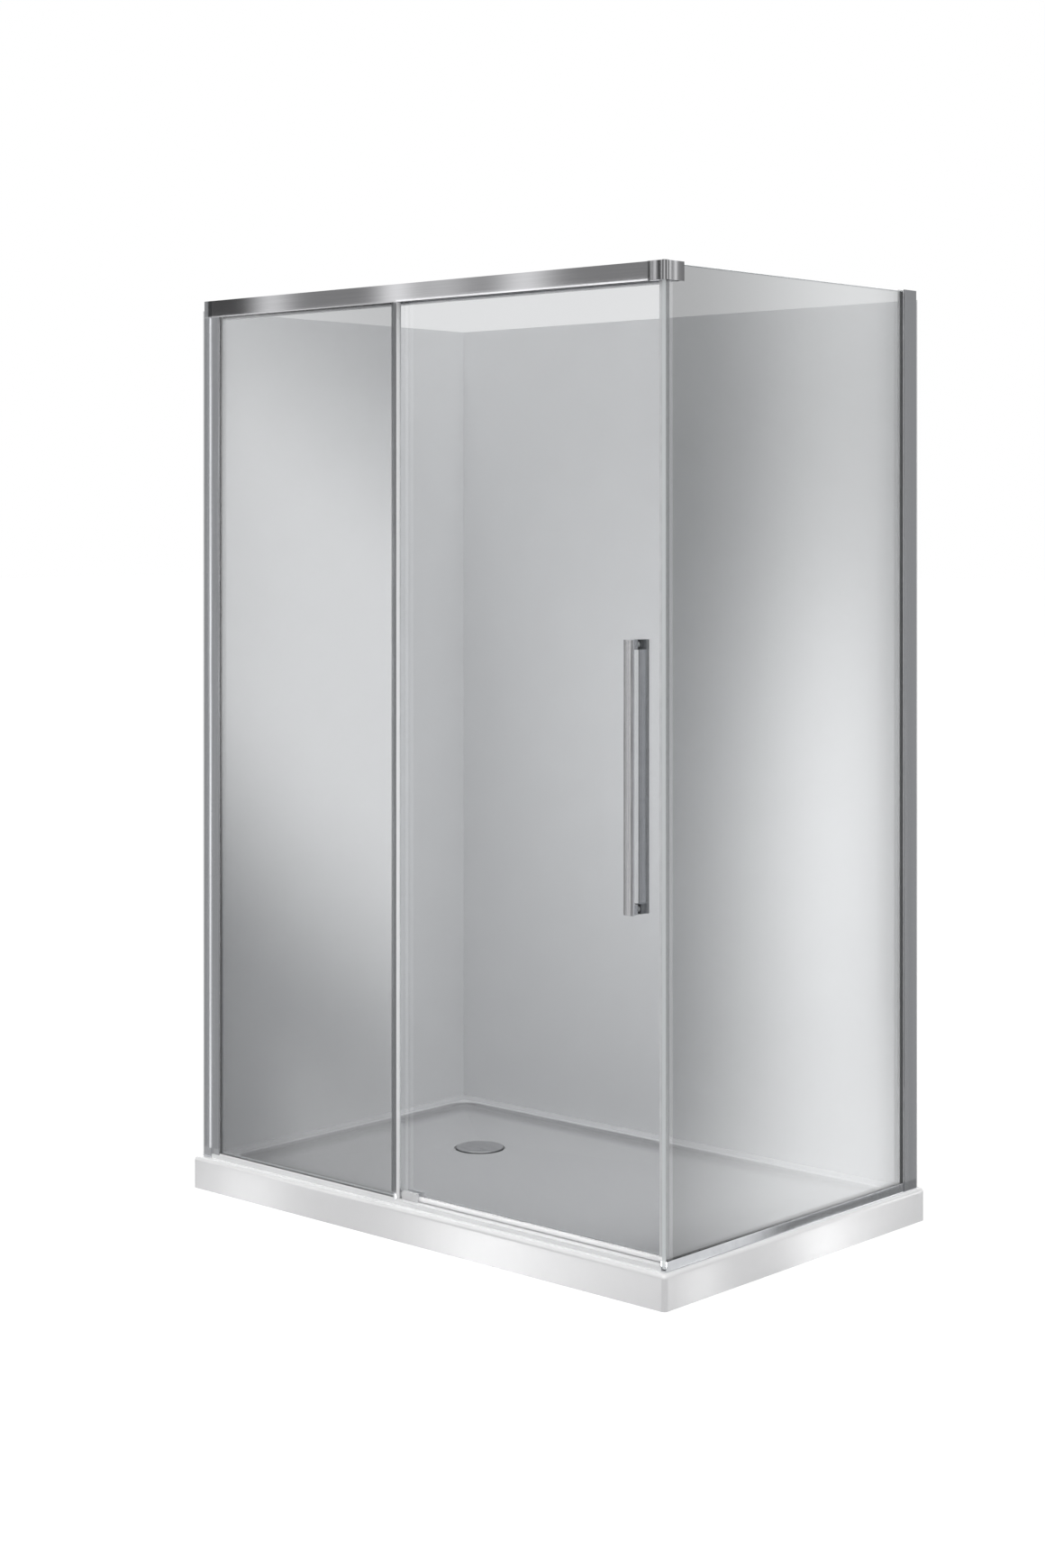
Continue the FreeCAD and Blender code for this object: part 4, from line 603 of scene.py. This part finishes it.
def studio():
    """A plain white room, with soft uprights and two high glows that only gloss shows."""
    world = bpy.data.worlds.new("studio")
    bpy.context.scene.world = world
    world.use_nodes = True
    sky = world.node_tree
    sky.nodes.clear()
    output = add(sky, "OutputWorld")
    path = add(sky, "LightPath")
    direction = axes_of(sky, "Generated")
    around = math_node(sky, "ARCTAN2", direction["Y"], direction["X"])
    waves = math_node(sky, "SINE", math_node(sky, "MULTIPLY_ADD", around, ROOM_WAVES, ROOM_PHASE))
    level = math_node(sky, "MULTIPLY_ADD", waves, ROOM_SWING, ROOM_LEVEL)
    away = math_node(sky, "MULTIPLY_ADD", direction["Y"], LOOK_Y,
                     product(sky, direction["X"], LOOK_X))
    far = product(sky, step(sky, away, *FAR_SIDE), step(sky, direction["Z"], *FAR_HEIGHTS))
    near = product(sky, step(sky, away, *NEAR_SIDE, 1.0, 0.0),
                   step(sky, direction["Z"], *NEAR_HEIGHTS))
    level = math_node(sky, "MULTIPLY_ADD", far, FAR_GLOW, level)
    level = math_node(sky, "MULTIPLY_ADD", near, NEAR_GLOW, level)
    mirrored = add(sky, "Background")
    sky.links.new(level, mirrored.inputs["Strength"])
    fill = add(sky, "Background", Strength=FILL_STRENGTH, Color=WHITE_LIGHT)
    backdrop = add(sky, "Background", Strength=BACKDROP_STRENGTH, Color=WHITE_LIGHT)
    unseen = mix_shader(sky, path.outputs["Is Glossy Ray"], fill.outputs[0], mirrored.outputs[0])
    sky.links.new(mix_shader(sky, path.outputs["Is Camera Ray"], unseen, backdrop.outputs[0]),
                  output.inputs["Surface"])


FLOOR_HALF = 60
FLOOR_COLOUR = (0.35, 0.35, 0.35)
FLOOR_GLOW, FLOOR_GLOW_SEEN = 0.35, 0.80


def pale_floor():
    """A wide pale floor under the part, which gloss doesn't show."""
    corners = [(-FLOOR_HALF, -FLOOR_HALF, 0), (FLOOR_HALF, -FLOOR_HALF, 0),
               (FLOOR_HALF, FLOOR_HALF, 0), (-FLOOR_HALF, FLOOR_HALF, 0)]
    mesh = bpy.data.meshes.new("floor")
    mesh.from_pydata(corners, [], [(0, 1, 2, 3)])
    floor = bpy.data.objects.new("floor", mesh)
    bpy.context.scene.collection.objects.link(floor)
    pale, tree, output = fresh("pale_floor")
    ground = add(tree, "BsdfDiffuse", Color=(*FLOOR_COLOUR, 1))
    lift = add(tree, "Emission")
    seen = add(tree, "LightPath").outputs["Is Camera Ray"]
    tree.links.new(step(tree, seen, 0.0, 1.0, FLOOR_GLOW, FLOOR_GLOW_SEEN),
                   lift.inputs["Strength"])
    both = add(tree, "AddShader")
    tree.links.new(ground.outputs[0], both.inputs[0])
    tree.links.new(lift.outputs[0], both.inputs[1])
    tree.links.new(both.outputs[0], output.inputs["Surface"])
    mesh.materials.append(pale)
    floor.visible_glossy = False


def soft_light(name, place, size_x, size_y, watts, turn=(0, 0, 0)):
    """An area light, straight down unless turned, that shows neither itself nor its reflection."""
    lamp = bpy.data.lights.new(name, "AREA")
    lamp.shape = "RECTANGLE"
    lamp.size = size_x
    lamp.size_y = size_y
    lamp.energy = watts
    light = bpy.data.objects.new(name, lamp)
    light.location = place
    light.rotation_euler = [math.radians(angle) for angle in turn]
    light.visible_glossy = False
    light.visible_camera = False
    bpy.context.scene.collection.objects.link(light)


studio()
pale_floor()
soft_light("top_light", (0.0, -0.2, 4.5), 2.4, 2.0, 120.0)
soft_light("back_fill", (0.1, -0.36, 0.80), 1.1, 1.1, 1.5, turn=(90, 0, 0))
soft_light("left_fill", (0.6, 0.0, 0.85), 1.0, 0.6, 2.8, turn=(0, 90, 0))
